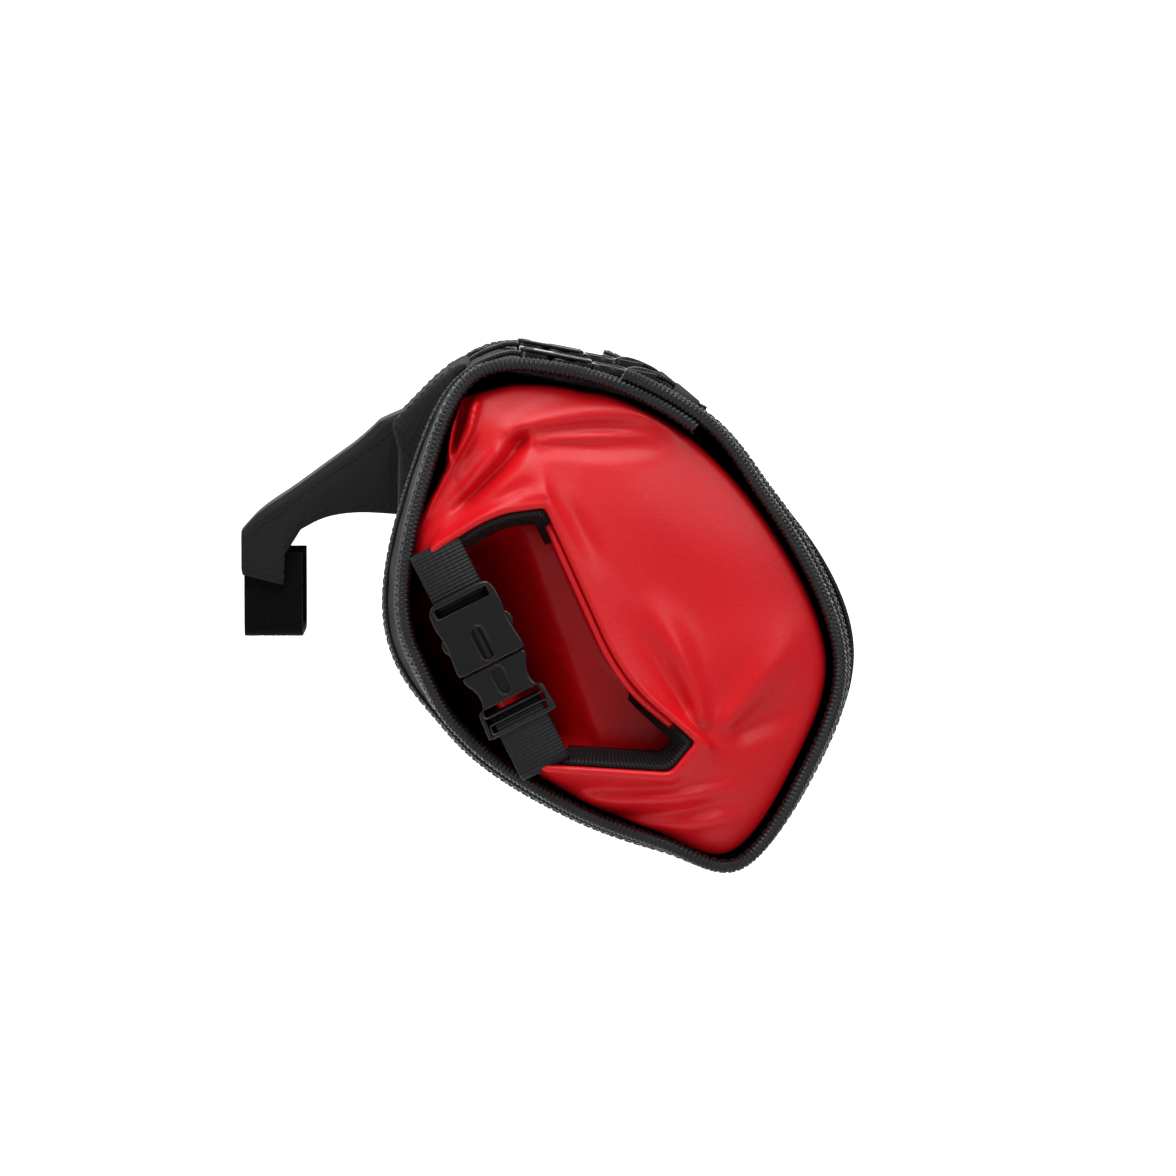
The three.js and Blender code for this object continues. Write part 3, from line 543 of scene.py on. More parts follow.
# End bands: thin nylon, greyer and smoother than the wrap, with a slight sheen.
GREY_NYLON = Finish(
    "nylon, fine woven, charcoal", Pattern.PLAIN_WEAVE, "262629", "38383C", 0.6, 0.8, 0.06, sheen=0.12,
    specular=0.35,
)
# Rims and seams: grosgrain tape, whose ribs catch the light in rows of dots, with a painted highlight on the
# rib crests.
GROSGRAIN = Finish(
    "polyester grosgrain, woven, black", Pattern.RIBBED, "030303", "121214", 0.4, 0.8, 0.1,
    specular=0.45,
)
# Straps: polyester webbing with cross ribs and long rows.
WEBBING = Finish(
    "polyester webbing, woven, black", Pattern.RIBBED, "040405", "151517", 0.55, 1.2, 0.3,
    specular=0.3,
)
# Buckles: acetal, injection moulded, satin with soft highlights on its edges.
ACETAL = Finish(
    "acetal, injection moulded, black", Pattern.MOULDED, "09090A", "101012", 0.24, 0.35, 0.01,
)
# Saddle: rubber-coated fabric, matte with a fine grain.
RUBBER_COATED = Finish(
    "rubber coated fabric, calendered, black", Pattern.GRAINED, "0B0B0C", "161618", 0.6, 0.6, 0.06,
    sheen=0.03, specular=0.3,
)
# Stem band: hook-and-loop pile, which swallows light.
HOOK_LOOP = Finish(
    "hook and loop tape, knitted pile, black", Pattern.PILE, "020202", "0A0A0B", 0.95, 0.7, 0.5, sheen=0.08,
    specular=0.15,
)
# Keepers: woven elastic, grey, finely ribbed.
ELASTIC = Finish(
    "elastic tape, woven, charcoal", Pattern.MOULDED, "2C2C30", "46464A", 0.7, 0.6, 0.12, sheen=0.05,
    specular=0.3,
)
# Sewing thread: bonded polyester, a little glossier than the cloth around it.
THREAD = Finish(
    "bonded polyester thread, twisted, black", Pattern.MOULDED, "0C0C0E", "18181B", 0.5, 0.4, 0.03,
    specular=0.35,
)


class Wardrobe:
    """Builds each finish once and hands it out."""

    def __init__(self) -> None:
        """Starts with no materials."""
        self.made: dict[str, bpy.types.Material] = {}

    def get(self, finish: Finish) -> bpy.types.Material:
        """Material of a finish, made the first time it is asked for.

        Args:
            finish: The finish.

        Returns:
            Its material.
        """
        if finish.name not in self.made:
            self.made[finish.name] = finish.build()
        return self.made[finish.name]


# Shared section of the wrap and the dry bag


@dataclass
class Section:
    """Side outline of the wrap and of the rolled ends, about one pole, in millimetres."""

    depth: float = 147.0
    height: float = 166.0
    centre_x: float = 96.5
    drop: float = 1.0
    swell: float = 4.0
    swell_run: float = 24.0
    half: float = 172.0
    shoulder_rise: float = 1.8
    rim_pull: float = 3.2
    shoulder_turns: tuple[float, float, float, float] = (98.0, 128.0, 182.0, 212.0)
    shoulder_from: tuple[float, float] = (98.0, 142.0)
    rim_run: tuple[float, float] = (16.0, 1.0)
    curve_steps: int = 40
    strap_press: float = 3.0
    strap_offset: float = 85.0
    press_width: float = 26.0
    press_turns: tuple[float, float, float, float] = (28.0, 60.0, 94.0, 110.0)
    lap_start: float = 60.4
    lap_end: float = 439.1
    lap_ramp: float = 24.0
    lap_lift: float = 3.85
    gap: float = 0.35
    wall: float = 1.6
    pole_share: tuple[float, float] = (-0.112, -0.066)
    # x and z as shares of depth and height, and the share of the swell
    rim: tuple[tuple[float, float, float], ...] = (
        (-0.33, 0.488, -0.3), (-0.455, 0.283, -0.3), (-0.5, -0.024, 0.3), (-0.35, -0.235, 0.9),
        (-0.112, -0.38, 1.0), (0.092, -0.452, 1.0), (0.262, -0.497, 0.5), (0.432, -0.295, 0.7),
        (0.5, -0.084, 0.7), (0.364, 0.199, 0.6), (0.146, 0.398, 0.0), (-0.112, 0.494, -1.2),
    )
    # Crest of the rolled end and the share of its rise
    crest: tuple[tuple[float, float, float], ...] = (
        (-0.425, 0.14, 1.0), (-0.285, 0.22, 1.0), (-0.158, 0.235, 1.0), (0.018, -0.11, 1.0),
        (0.19, -0.239, 1.0), (0.119, -0.315, 1.0), (-0.177, -0.298, 1.0), (-0.32, -0.09, 0.15),
    )
    crest_bends: tuple[float, ...] = (3.0, 12.0, 1.5, 16.0, 2.0, 2.5, 3.0, 8.0)
    crest_arms: int = 7
    turns: np.ndarray = field(default=None, repr=False)
    reaches: np.ndarray = field(default=None, repr=False)
    swells: np.ndarray = field(default=None, repr=False)

    def __post_init__(self) -> None:
        """Samples the rim's curve once."""
        rows = np.array([(*self.place(x, z), s) for x, z, s in self.rim])
        curve = self.closed_curve(rows, self.curve_steps)
        self.turns, self.reaches, self.swells = self.polar(curve)

    @property
    def pole(self) -> np.ndarray:
        """Middle of the polar grid."""
        return np.array(self.place(*self.pole_share))

    def place(self, x: float, z: float) -> tuple[float, float]:
        """Point of the section at a pair of shares."""
        return (self.centre_x + x * self.depth, z * self.height - self.drop)

    def closed_curve(self, rows: np.ndarray, steps: int) -> np.ndarray:
        """Closed centripetal curve through a few rows.

        Args:
            rows: Points, with any further values as columns.
            steps: Points for each stretch.

        Returns:
            Rows along the curve.
        """
        count = len(rows)
        share = np.linspace(0, 1, steps, endpoint=False)[:, None]
        parts = []
        for i in range(count):
            p0, p1, p2, p3 = (rows[(i + k - 1) % count] for k in range(4))
            d0, d1, d2 = (np.sqrt(np.linalg.norm(b - a)) for a, b in ((p0, p1), (p1, p2), (p2, p3)))
            t1 = ((p1 - p0) / d0 - (p2 - p0) / (d0 + d1) + (p2 - p1) / d1) * d1
            t2 = ((p2 - p1) / d1 - (p3 - p1) / (d1 + d2) + (p3 - p2) / d2) * d1
            parts.append(
                p1 + t1 * share + (-3 * p1 + 3 * p2 - 2 * t1 - t2) * share**2
                + (2 * p1 - 2 * p2 + t1 + t2) * share**3
            )
        return np.concatenate(parts)

    def polar(self, curve: np.ndarray) -> tuple[np.ndarray, np.ndarray, np.ndarray]:
        """Turn, reach and third value of the points of a closed outline, in order of turn.

        Args:
            curve: Rows of x, z and a value.

        Returns:
            Turns in degrees, reaches and values.
        """
        apart = curve[:, :2] - self.pole
        turns = turns_of(apart)
        order = np.argsort(turns)
        return turns[order], np.linalg.norm(apart, axis=1)[order], curve[order, 2]

    def rim_reach(self, turn: np.ndarray) -> tuple[np.ndarray, np.ndarray]:
        """Reach and swell of the rim at some turns."""
        reach = np.interp(turn, self.turns, self.reaches, period=360)
        return reach, np.interp(turn, self.turns, self.swells, period=360)

    def point(self, turn: np.ndarray, reach: np.ndarray) -> np.ndarray:
        """Points at a turn and a reach, as x and z columns."""
        angle = np.radians(turn)
        return np.stack([self.pole[0] + reach * np.cos(angle), self.pole[1] + reach * np.sin(angle)], -1)

    def face(self, turn: np.ndarray, y: np.ndarray) -> np.ndarray:
        """Outer face of the wrap, before its lap lifts it.

        Args:
            turn: Turns in degrees.
            y: Distances from the middle.

        Returns:
            x and z for each.
        """
        reach, swell = self.rim_reach(turn)
        share = 1 - smooth(self.half - self.swell_run, self.half, np.abs(y))
        raised = swell * self.swell * share + self.shoulder(turn, np.abs(y)) - self.press(turn, y)
        return self.point(turn, reach + raised)

    def press(self, turn: np.ndarray, y: np.ndarray) -> np.ndarray:
        """How far the compression straps draw the cloth in under their buckles.

        Args:
            turn: Turns in degrees.
            y: Distances from the middle.

        Returns:
            Depths in millimetres.
        """
        first, full, last, gone = self.press_turns
        turn = np.asarray(turn) % 360
        around = smooth(first, full, turn) * (1 - smooth(last, gone, turn))
        apart = (np.abs(y) - self.strap_offset) / self.press_width
        return self.strap_press * around * np.exp(-(apart**2))

    def shoulder(self, turn: np.ndarray, y: np.ndarray) -> np.ndarray:
        """Bulge of the cloth behind the upper rear of the rim, and how far the rim is drawn in.

        Args:
            turn: Turns in degrees.
            y: Distances from the middle, without their sign.

        Returns:
            Heights in millimetres.
        """
        first, full, last, gone = self.shoulder_turns
        turn = np.asarray(turn) % 360
        around = smooth(first, full, turn) * (1 - smooth(last, gone, turn))
        rim = smooth(self.half - self.rim_run[0], self.half - self.rim_run[1], y)
        along = (1 - rim) * smooth(*self.shoulder_from, y)
        return around * (self.shoulder_rise * along - self.rim_pull * rim)

    def surface(
        self, turn: np.ndarray, y: np.ndarray, offset: np.ndarray | float,
    ) -> tuple[np.ndarray, np.ndarray]:
        """Points of the wrap, and the direction out of it, with its lap lifted.

        Args:
            turn: Turns in degrees, 360 and more on the second layer.
            y: Distances from the middle.
            offset: Height above the outer face.

        Returns:
            Points and normals, as rows of x, y and z.
        """
        turn, y = np.broadcast_arrays(np.asarray(turn, float), np.asarray(y, float))
        normal = beside(unit(self.face(turn + 0.3, y) - self.face(turn - 0.3, y)))
        full = 360 + self.lap_start - self.gap
        lift = self.lap_lift * smooth(full - self.lap_ramp, full, turn)
        base = self.face(turn, y) + normal * (lift + offset)[..., None]
        return in_space(base, y), in_space(normal, np.zeros_like(y))

    def even_turns(self, y: float, offset: float, pitch: float) -> tuple[np.ndarray, np.ndarray]:
        """Turns that lie a fixed length apart along the wrap's path.

        Args:
            y: Distance from the middle.
            offset: Height above the outer face.
            pitch: Length between them.

        Returns:
            The turns, and their lengths from the path's start.
        """
        fine = np.linspace(self.lap_start, self.lap_end, 2400)
        lengths = run_lengths(self.surface(fine, np.full_like(fine, y), offset)[0])
        places = np.arange(0, lengths[-1], pitch)
        return np.interp(places, lengths, fine), places

    def crest_points(self, inward: float = 0.0) -> np.ndarray:
        """Corners of the crest, moved inward by a distance, with their rise as a third value."""
        rows = np.array([(*self.place(x, z), s) for x, z, s in self.crest])
        flat = rows[:, :2]
        before = unit(flat - np.roll(flat, 1, axis=0))
        after = unit(np.roll(flat, -1, axis=0) - flat)
        normal = unit(beside(before + after))
        stretch = np.maximum(0.5, (normal * beside(before)).sum(1))
        moved = rows.copy()
        moved[:, :2] += normal * (inward / stretch)[:, None]
        return moved

    def crest_reach(self, turn: np.ndarray, inward: float = 0.0) -> tuple[np.ndarray, np.ndarray]:
        """Reach and rise of the crest at some turns."""
        turns, reaches, values = self.polar(self.crest_curve(inward))
        return np.interp(turn, turns, reaches, period=360), np.interp(turn, turns, values, period=360)

    def crest_curve(self, inward: float = 0.0) -> np.ndarray:
        """Closed line of the crest with its kinks rounded, moved inward by a distance."""
        rows = self.crest_points(inward)
        ends = []
        for k, row in enumerate(rows):
            bend = self.crest_bends[k]
            near = []
            for other in (rows[k - 1], rows[(k + 1) % len(rows)]):
                apart = np.linalg.norm((other - row)[:2])
                near.append(row + (other - row) * min(bend, 0.46 * apart) / apart)
            ends.append((near[0], row, near[1]))
        dense = []
        for (first, corner, last), (after, _, _) in zip(ends, ends[1:] + ends[:1]):
            t = np.linspace(0, 1, 16)[:, None]
            dense.append((1 - t) ** 2 * first + 2 * t * (1 - t) * corner + t**2 * last)
            dense.append(last + (after - last) * np.linspace(0, 1, 30)[1:-1, None])
        return np.concatenate(dense)


# Wrap


@dataclass
class Wrap:
    """Fabric panel, its end bands and its bound rims, in millimetres."""

    section: Section
    wardrobe: Wardrobe
    band_edge: float = 155.0
    tape: float = 0.6
    tape_leg: float = 7.0
    seam_tape: float = 8.0
    rib: float = 1.55
    relief: float = 0.5
    knob: tuple[float, ...] = (1.0, 0.75, 0.25, 0.0, 0.25, 0.75)
    stitch_pitch: float = 2.9

    def build(self) -> list[Piece]:
        """Makes every piece of the wrap.

        Returns:
            The pieces.
        """
        pieces = [self.panel()]
        for end in End:
            pieces += [self.band(end), self.rim_binding(end), self.seam_binding(end)]
        return pieces

    def rest_of(self, turn: np.ndarray, y: np.ndarray) -> np.ndarray:
        """Height by which the panel's cloth swells and wrinkles away from its smooth form.

        Args:
            turn: Turns in degrees.
            y: Distances from the middle.

        Returns:
            Heights in millimetres.
        """
        from_tape = self.band_edge - self.seam_tape / 2 - np.abs(y)
        free = smooth(11, 24, np.abs(np.abs(y) - self.section.strap_offset))
        pucker = ripple(turn / 46.0, 3) * np.exp(-((self.band_edge - 12 - np.abs(y)) / 12.0) ** 2)
        long_folds = ripple(turn / 75.0 + y / 900.0, 7) * 0.5
        drift = ripple(y / 120.0 + turn / 200.0, 11) * 0.45
        swell = smooth(0, 18, from_tape) * free * (0.35 + long_folds + drift) * 0.8
        return swell + 0.35 * pucker * smooth(0, 9, from_tape)

    def sheet(
        self, name: str, turns: np.ndarray, ys: np.ndarray, height: np.ndarray,
    ) -> tuple[Piece, tuple[float, float]]:
        """Sheet of the wrap's cloth.

        Args:
            name: Name of the piece.
            turns: Turns of its columns.
            ys: Distances of its rows.
            height: Height of its outer face at each row and column.

        Returns:
            The object and its flat size in metres.
        """
        turn, y = np.meshgrid(turns, ys)
        outer, _ = self.section.surface(turn, y, height)
        inner, _ = self.section.surface(turn, y, height - self.section.wall)
        run = run_lengths(outer[len(ys) // 2])
        uv = np.stack([np.broadcast_to(run, turn.shape), y], -1) * MM
        return sheet_mesh(name, outer, inner, uv), (float(run[-1]) * MM, abs(float(ys[-1] - ys[0])) * MM)

    def panel(self) -> Piece:
        """The main panel, from one free edge round to the other."""
        turns = np.linspace(self.section.lap_start, self.section.lap_end, 300)
        edge = self.band_edge - self.section.gap / 2
        ys = np.linspace(-edge, edge, 130)
        turn, y = np.meshgrid(turns, ys)
        piece, flat = self.sheet("wrap_cloth", turns, ys, self.rest_of(turn, y))
        attach(piece, "black_nylon", self.wardrobe.get(BLACK_NYLON), "wrap_panel")
        return piece

    def band(self, end: End) -> Piece:
        """Thin band between the seam and the rim, with soft puckers."""
        turns = np.linspace(self.section.lap_start, self.section.lap_end, 460)
        ys = np.linspace(self.band_edge + self.section.gap / 2, self.section.half, 14)
        turn, y = np.meshgrid(turns, ys)
        middle = np.sin(np.pi * np.clip((y - self.band_edge) / (self.section.half - self.band_edge), 0, 1))
        height = middle**2 * (ripple(turn / 24.0, 5) * 0.5 - 0.2)
        piece, flat = self.sheet(f"end_band_cloth_{end.label}", turns, ys * end.sign, height)
        attach(piece, "grey_nylon", self.wardrobe.get(GREY_NYLON), f"end_band_{end.label}")
        return piece

    def tape_piece(
        self, name: str, end: End, profile: list[tuple[float, float]], inside: list[tuple[float, float]],
        node: str,
    ) -> Piece:
        """Ribbed tape that follows the wrap's path.

        Args:
            name: Name of the piece.
            end: Which end.
            profile: Outer face of the tape, as height above the wrap and distance from the middle.
            inside: The face that lies on the cloth, from the last point back to the first.
            node: The solid that it stands for.

        Returns:
            The object.
        """
        parts = len(self.knob)
        turns, places = self.section.even_turns(self.section.half, profile[0][0], self.rib / parts)
        step = np.arange(len(turns))
        ribs = [np.array(self.knob)[(step + shift) % parts] for shift in (0, parts // 2)]
        rows = np.array(profile + inside)
        count = len(profile)
        out = unit(beside(np.gradient(rows[:count], axis=0)))
        if out[0, 0] < 0:
            out = -out
        rings = []
        for k, (height, y) in enumerate(rows):
            groove = 0.0 if k == count // 2 else 1.0
            raised = ribs[k > count // 2] * self.relief * groove * (0 < k < count - 1)
            shift = out[k] if k < count else np.zeros(2)
            ys = np.full_like(turns, y * end.sign)
            points, _ = self.section.surface(turns, ys, height + raised * shift[0])
            points[:, 1] += end.sign * raised * shift[1]
            rings.append(points)
        piece = loft_mesh(name, np.stack(rings, 1), cloth_uv(run_lengths(rows), places))
        attach(piece, "binding_tape", self.wardrobe.get(GROSGRAIN), node)
        return piece

    def rim_binding(self, end: End) -> Piece:
        """Tape folded over the rim, with a row of stitches on each leg."""
        half = self.section.half
        top = self.section.gap + self.tape
        low = -self.section.wall - top
        middle = (top + low) / 2
        round_half = (top - low) / 2
        centre = half + self.section.gap + self.tape - round_half * 0.85
        outer = [(top, y) for y in np.linspace(half - self.tape_leg, centre, 5)]
        outer += [
            (middle + round_half * np.cos(a), centre + round_half * 0.95 * np.sin(a))
            for a in np.linspace(0, np.pi, 9)[1:-1]
        ]
        outer += [(low, y) for y in np.linspace(centre, half - self.tape_leg, 5)]
        inside = [
            (low + self.tape, half - self.tape_leg), (low + self.tape, half + self.section.gap * 0.9),
            (top - self.tape, half + self.section.gap * 0.9), (top - self.tape, half - self.tape_leg),
        ]
        name = f"rim_tape_{end.label}"
        piece = self.tape_piece(name, end, outer, inside, f"rim_binding_{end.label}")
        for leg, height, way in (("outer", top, 1.0), ("inner", low, -1.0)):
            self.stitch_row(f"rim_stitches_{leg}_{end.label}", end, half - 3.0, height + way * 0.2, way)
        return piece

    def seam_binding(self, end: End) -> Piece:
        """Flat tape over the seam between panel and band."""
        low = self.band_edge - self.seam_tape / 2
        high = self.band_edge + self.seam_tape / 2
        top = self.section.gap + self.tape
        outer = [(top, y) for y in np.linspace(low, high, 8)]
        inside = [(self.section.gap, high), (self.section.gap, low)]
        piece = self.tape_piece(f"seam_tape_{end.label}", end, outer, inside, f"seam_binding_{end.label}")
        self.stitch_row(f"seam_stitches_{end.label}", end, self.band_edge, top + 0.2, 1.0)
        return piece

    def stitch_row(self, name: str, end: End, y: float, height: float, way: float) -> Piece:
        """Lockstitches round the whole wrap at one distance from the middle.

        Args:
            name: Name of the piece.
            end: Which end.
            y: Distance from the middle.
            height: Height above the wrap's face.
            way: 1 outside and -1 inside.

        Returns:
            The object.
        """
        turns, _ = self.section.even_turns(y, height, self.stitch_pitch)
        middles, normals = self.section.surface(turns, np.full_like(turns, y * end.sign), height)
        piece = stitches(name, middles, normals * way)
        return attach(piece, "binding_tape", self.wardrobe.get(THREAD))


# Dry bag


@dataclass(frozen=True)
class Fold:
    """One fold of the bag's end: a line over the end, its height and its width."""

    line: tuple[tuple[float, float], ...]
    height: float
    width: float
    end_width: float | None = None
    sharp: float = 2.0
    fade_in: float = 0.15
    fade_out: float = 0.15

    def height_at(self, points: np.ndarray) -> np.ndarray:
        """Height that the fold adds at some points.

        Args:
            points: Rows of x and z.

        Returns:
            One height for each.
        """
        line = np.array(self.line, float)
        best = np.full(len(points), np.inf)
        share = np.zeros(len(points))
        steps = np.linalg.norm(np.diff(line, axis=0), axis=1)
        starts = run_lengths(line)
        for k, step in enumerate(steps):
            a, b = line[k], line[k + 1]
            t = np.clip(((points - a) @ (b - a)) / step**2, 0, 1)
            apart = np.linalg.norm(points - (a + t[:, None] * (b - a)), axis=1)
            closer = apart < best
            best = np.where(closer, apart, best)
            share = np.where(closer, (starts[k] + t * step) / starts[-1], share)
        far = self.width if self.end_width is None else self.end_width
        width = self.width + (far - self.width) * share
        fade = np.ones_like(share)
        if self.fade_in > 0:
            fade *= smooth(0, self.fade_in, share)
        if self.fade_out > 0:
            fade *= smooth(0, self.fade_out, 1 - share)
        return self.height * fade * np.exp(-((best / width) ** self.sharp))


@dataclass
class DryBag:
    """The red coated-fabric bag and the rolled mouth at each end, in millimetres."""

    section: Section
    wardrobe: Wardrobe
    fit: float = 0.9
    snug_gap: float = 0.5
    loose_gap: float = 1.2
    loose_scale: float = 1.25
    loosens: tuple[float, float] = (60.0, 120.0)
    end_base: float = 166.0
    crest_rise: float = 16.0
    dish_depth: float = 26.0
    ridge: float = 2.2
    roll: float = 2.4
    webbing: float = 1.5
    mouth_drop: float = 1.4
    mouth_depth: float = 18.0
    # How much deeper the roll and its webbing lie along the front arm, and elsewhere
    roll_sinks: tuple[float, float] = (0.0, 4.2)
    webbing_sinks: tuple[float, float] = (24.5, 0.0)
    turns: int = 440
    skirt_rings: int = 66
    blur: float = 12.0
    well_depth: float = 70.0
    well_edge: tuple[float, float] = (48.0, 76.0)
    well_shelf: float = 3.0
    well_slant: float = -0.35
    # Outline of the red end where it lies clear of the rim, from the top front over the top and
    # down the rear to the bottom
    end_outline: tuple[tuple[float, float], ...] = (
        (124.2, 60.8), (119.4, 63.6), (112.5, 67.2), (105.6, 69.6), (97.4, 71.2), (85.0, 73.0),
        (75.4, 74.8), (61.6, 75.2), (52.0, 73.0), (45.0, 70.5), (41.4, 61.4), (40.0, 53.8),
        (39.6, 48.3), (36.4, 41.4), (31.6, 32.5), (28.0, 25.6), (28.2, 21.5), (34.0, 10.0),
        (41.0, -2.0), (49.0, -16.0), (58.0, -32.0), (66.0, -49.0), (69.0, -56.0), (80.0, -66.5),
        (92.0, -75.5),
    )
    # Rings inside the wrap, as distance from the middle and share of the red end's outline
    tube_rings: tuple[tuple[float, float], ...] = (
        (2.0, 0.0), (40.0, 0.0), (60.0, 0.0), (72.0, 0.03), (84.0, 0.15), (96.0, 0.5), (108.0, 0.85),
        (120.0, 1.0), (145.0, 1.0),
    )
    # Heights above the end of the tube, by the share of the way from rim to crest
    profile: tuple[tuple[float, float], ...] = (
        (0.0, -9.0), (0.003, -4.0), (0.009, -1.4), (0.018, -0.2), (0.035, 0.6), (0.07, 1.4),
        (0.14, 2.6), (0.24, 4.2), (0.4, 6.6), (0.6, 9.4), (0.8, 12.4), (1.0, 16.0),
    )
    folds: tuple[Fold, ...] = (
        # Ridge over the top, the valley under it and the low ridge and dark band below
        Fold(((54.0, 50.0), (61.6, 59.3), (71.3, 63.6), (85.0, 66.4), (98.8, 67.2), (109.1, 65.8),
              (117.0, 61.5), (121.0, 54.0)), 2.8, 4.4, 4.2, 2.0, 0.25, 0.3),
        Fold(((60.0, 54.0), (66.5, 59.6), (76.0, 61.0), (88.0, 61.8), (105.6, 60.6), (114.0, 60.6)),
             -1.9, 2.2, 2.4, 2.0, 0.1, 0.35),
        Fold(((66.0, 56.8), (76.0, 57.8), (88.0, 58.2), (112.5, 61.0)), 0.8, 1.6, 1.8, 2.0, 0.2, 0.4),
        Fold(((64.0, 54.5), (74.0, 55.4), (91.9, 54.6), (109.1, 55.2), (119.4, 57.0)),
             -2.0, 3.2, 3.6, 2.0, 0.2, 0.4),
        # Deep crease from the top ridge to the upper end of the roll, with a flank on each side
        Fold(((68.0, 60.2), (64.4, 57.3), (58.9, 50.4), (47.2, 38.7), (37.0, 28.6)),
             -5.6, 2.6, 3.8, 1.7, 0.12, 0.35),
        Fold(((61.0, 58.0), (55.5, 51.1), (45.6, 40.8), (36.9, 31.5)), 3.2, 2.6, 2.2, 2.0, 0.2, 0.4),
        Fold(((50.6, 53.5), (47.0, 45.8), (40.0, 35.5), (34.4, 28.5)), -0.9, 2.4, 2.0, 1.8, 0.3, 0.4),
        Fold(((44.4, 56.5), (40.4, 47.0), (35.0, 36.8), (31.0, 28.6), (29.8, 25.0)),
             3.0, 1.5, 1.2, 1.8, 0.12, 0.4),
        # Ear at the top rear: a tube that stands open at the end's face
        Fold(((43.6, 71.0), (41.9, 61.4), (40.9, 54.0), (41.4, 48.6)), 4.6, 1.1, 0.9, 2.2, 0.0, 0.3),
        Fold(((49.4, 69.0), (47.6, 60.7), (44.6, 54.9), (42.0, 49.5)), 5.2, 1.3, 1.0, 2.0, 0.0, 0.35),
        Fold(((46.4, 72.0), (44.7, 62.0), (42.9, 55.4), (41.7, 50.6)), -10.0, 1.6, 0.8, 2.4, 0.0, 0.25),
        # Crest from its upper end to the upper kink: a light band over the webbing
        Fold(((35.0, 26.6), (45.1, 31.0), (53.0, 36.6), (64.4, 42.4), (72.0, 43.0)),
             -1.4, 2.2, 2.4, 2.0, 0.2, 0.3),
        # Upper kink: the cloth turns round it in a rolled edge
        Fold(((77.2, 43.0), (80.6, 35.0), (84.6, 27.0), (92.0, 12.0)), -0.8, 2.6, 3.6, 1.8, 0.4, 0.5),
        # Folds that meet the front kink of the roll
        Fold(((104.0, 10.0), (115.0, -9.0), (121.6, -24.5), (124.6, -38.0)), 3.2, 6.5, 2.2, 1.9, 0.5, 0.1),
        Fold(((97.0, 6.0), (106.0, -9.0), (115.0, -25.0), (120.6, -35.0)), -2.0, 5.0, 2.2, 1.9, 0.5, 0.15),
        Fold(((160.0, 6.0), (149.0, -14.0), (137.0, -29.0), (128.0, -40.0)), 2.2, 8.0, 2.6, 2.0, 0.6, 0.15),
        Fold(((162.0, -24.0), (147.0, -33.0), (131.0, -41.0)), -1.8, 8.0, 3.0, 2.0, 0.6, 0.2),
        # Folds along the bottom
        Fold(((70.0, -56.4), (94.2, -56.8), (114.0, -56.4), (140.0, -52.0)), -2.4, 2.6, 3.4, 1.9, 0.3, 0.45),
        Fold(((72.0, -61.0), (94.9, -61.4), (113.5, -60.0), (142.0, -56.0)), 2.4, 2.4, 3.2, 2.0, 0.3, 0.45),
        Fold(((84.0, -66.4), (97.7, -66.4), (113.0, -65.0), (140.0, -60.6)), -2.2, 2.4, 2.8, 1.9, 0.3, 0.4),
        Fold(((92.0, -70.2), (103.9, -70.4), (117.6, -69.8), (140.0, -66.0)), 1.6, 2.4, 2.6, 2.0, 0.3, 0.35),
    )
    # Low swells of the smooth cloth between the folds, as place, radius and height
    swells: tuple[tuple[float, float, float, float], ...] = (
        (100.0, 40.0, 22.0, 2.2), (136.0, 20.0, 22.0, 1.4), (118.0, 2.0, 16.0, -1.2),
        (142.0, -12.0, 14.0, 0.8), (70.0, 48.0, 9.0, 0.7), (52.0, 62.0, 9.0, 1.2),
    )

    def build(self) -> list[Piece]:
        """Makes the bag and the parts of its rolled mouths.

        Returns:
            The pieces.
        """
        pieces = [self.bag()]
        for end in End:
            pieces += [self.roll_piece(end), self.webbing_piece(end)]
        return pieces

    def tube_reach(self, turn: np.ndarray, y: np.ndarray) -> np.ndarray:
        """Reach of the tube inside the wrap.

        Args:
            turn: Turns in degrees.
            y: Distances from the middle.

        Returns:
            Reaches.
        """
        section = self.section
        reach, swell = section.rim_reach(turn)
        share = 1 - smooth(section.half - section.swell_run, section.half, np.abs(y))
        first = section.lap_start
        step = smooth(first - section.lap_ramp, first - 1.0, turn) * (1 - smooth(first, first + 1.5, turn))
        snug = reach + swell * section.swell * share - section.wall - self.snug_gap + section.lap_lift * step
        room = (section.wall + self.fit + self.loose_gap) * self.loose_scale
        loose = reach + np.minimum(0, swell) * section.swell * share - room
        return loose + (snug - loose) * (1 - smooth(*self.loosens, np.abs(y))) - section.press(turn, y)

    def end_reach(self, turn: np.ndarray) -> np.ndarray:
        """Reach of the red end's outline."""
        rows = np.array(self.end_outline, float) - self.section.pole
        turns = turns_of(rows)
        reaches = np.linalg.norm(rows, axis=1)
        inside = (turn >= turns[0]) & (turn <= turns[-1])
        drawn = np.where(inside, np.interp(turn, turns, reaches), 1e6)
        crest, _ = self.section.crest_reach(turn)
        tube = self.tube_reach(turn, np.full_like(turn, self.end_base))
        return np.minimum(tube, np.maximum(drawn, crest + 1.2))

    def blurred(self, turn: np.ndarray, values: np.ndarray) -> np.ndarray:
        """Values round a ring, averaged with their neighbours.

        Args:
            turn: Turns of the values in degrees.
            values: One value for each turn.

        Returns:
            The averaged values.
        """
        apart = (turn[:, None] - turn[None, :] + 180) % 360 - 180
        weight = np.exp(-((apart / self.blur) ** 2))
        return weight @ values / weight.sum(1)

    def grid_turns(self) -> np.ndarray:
        """Even turns, with one at each corner of the crest."""
        turns = np.arange(self.turns) * 360.0 / self.turns
        corners = self.section.crest_points()[:, :2] - self.section.pole
        for corner in turns_of(corners):
            turns[np.argmin(np.abs(turns - corner))] = corner
        return turns

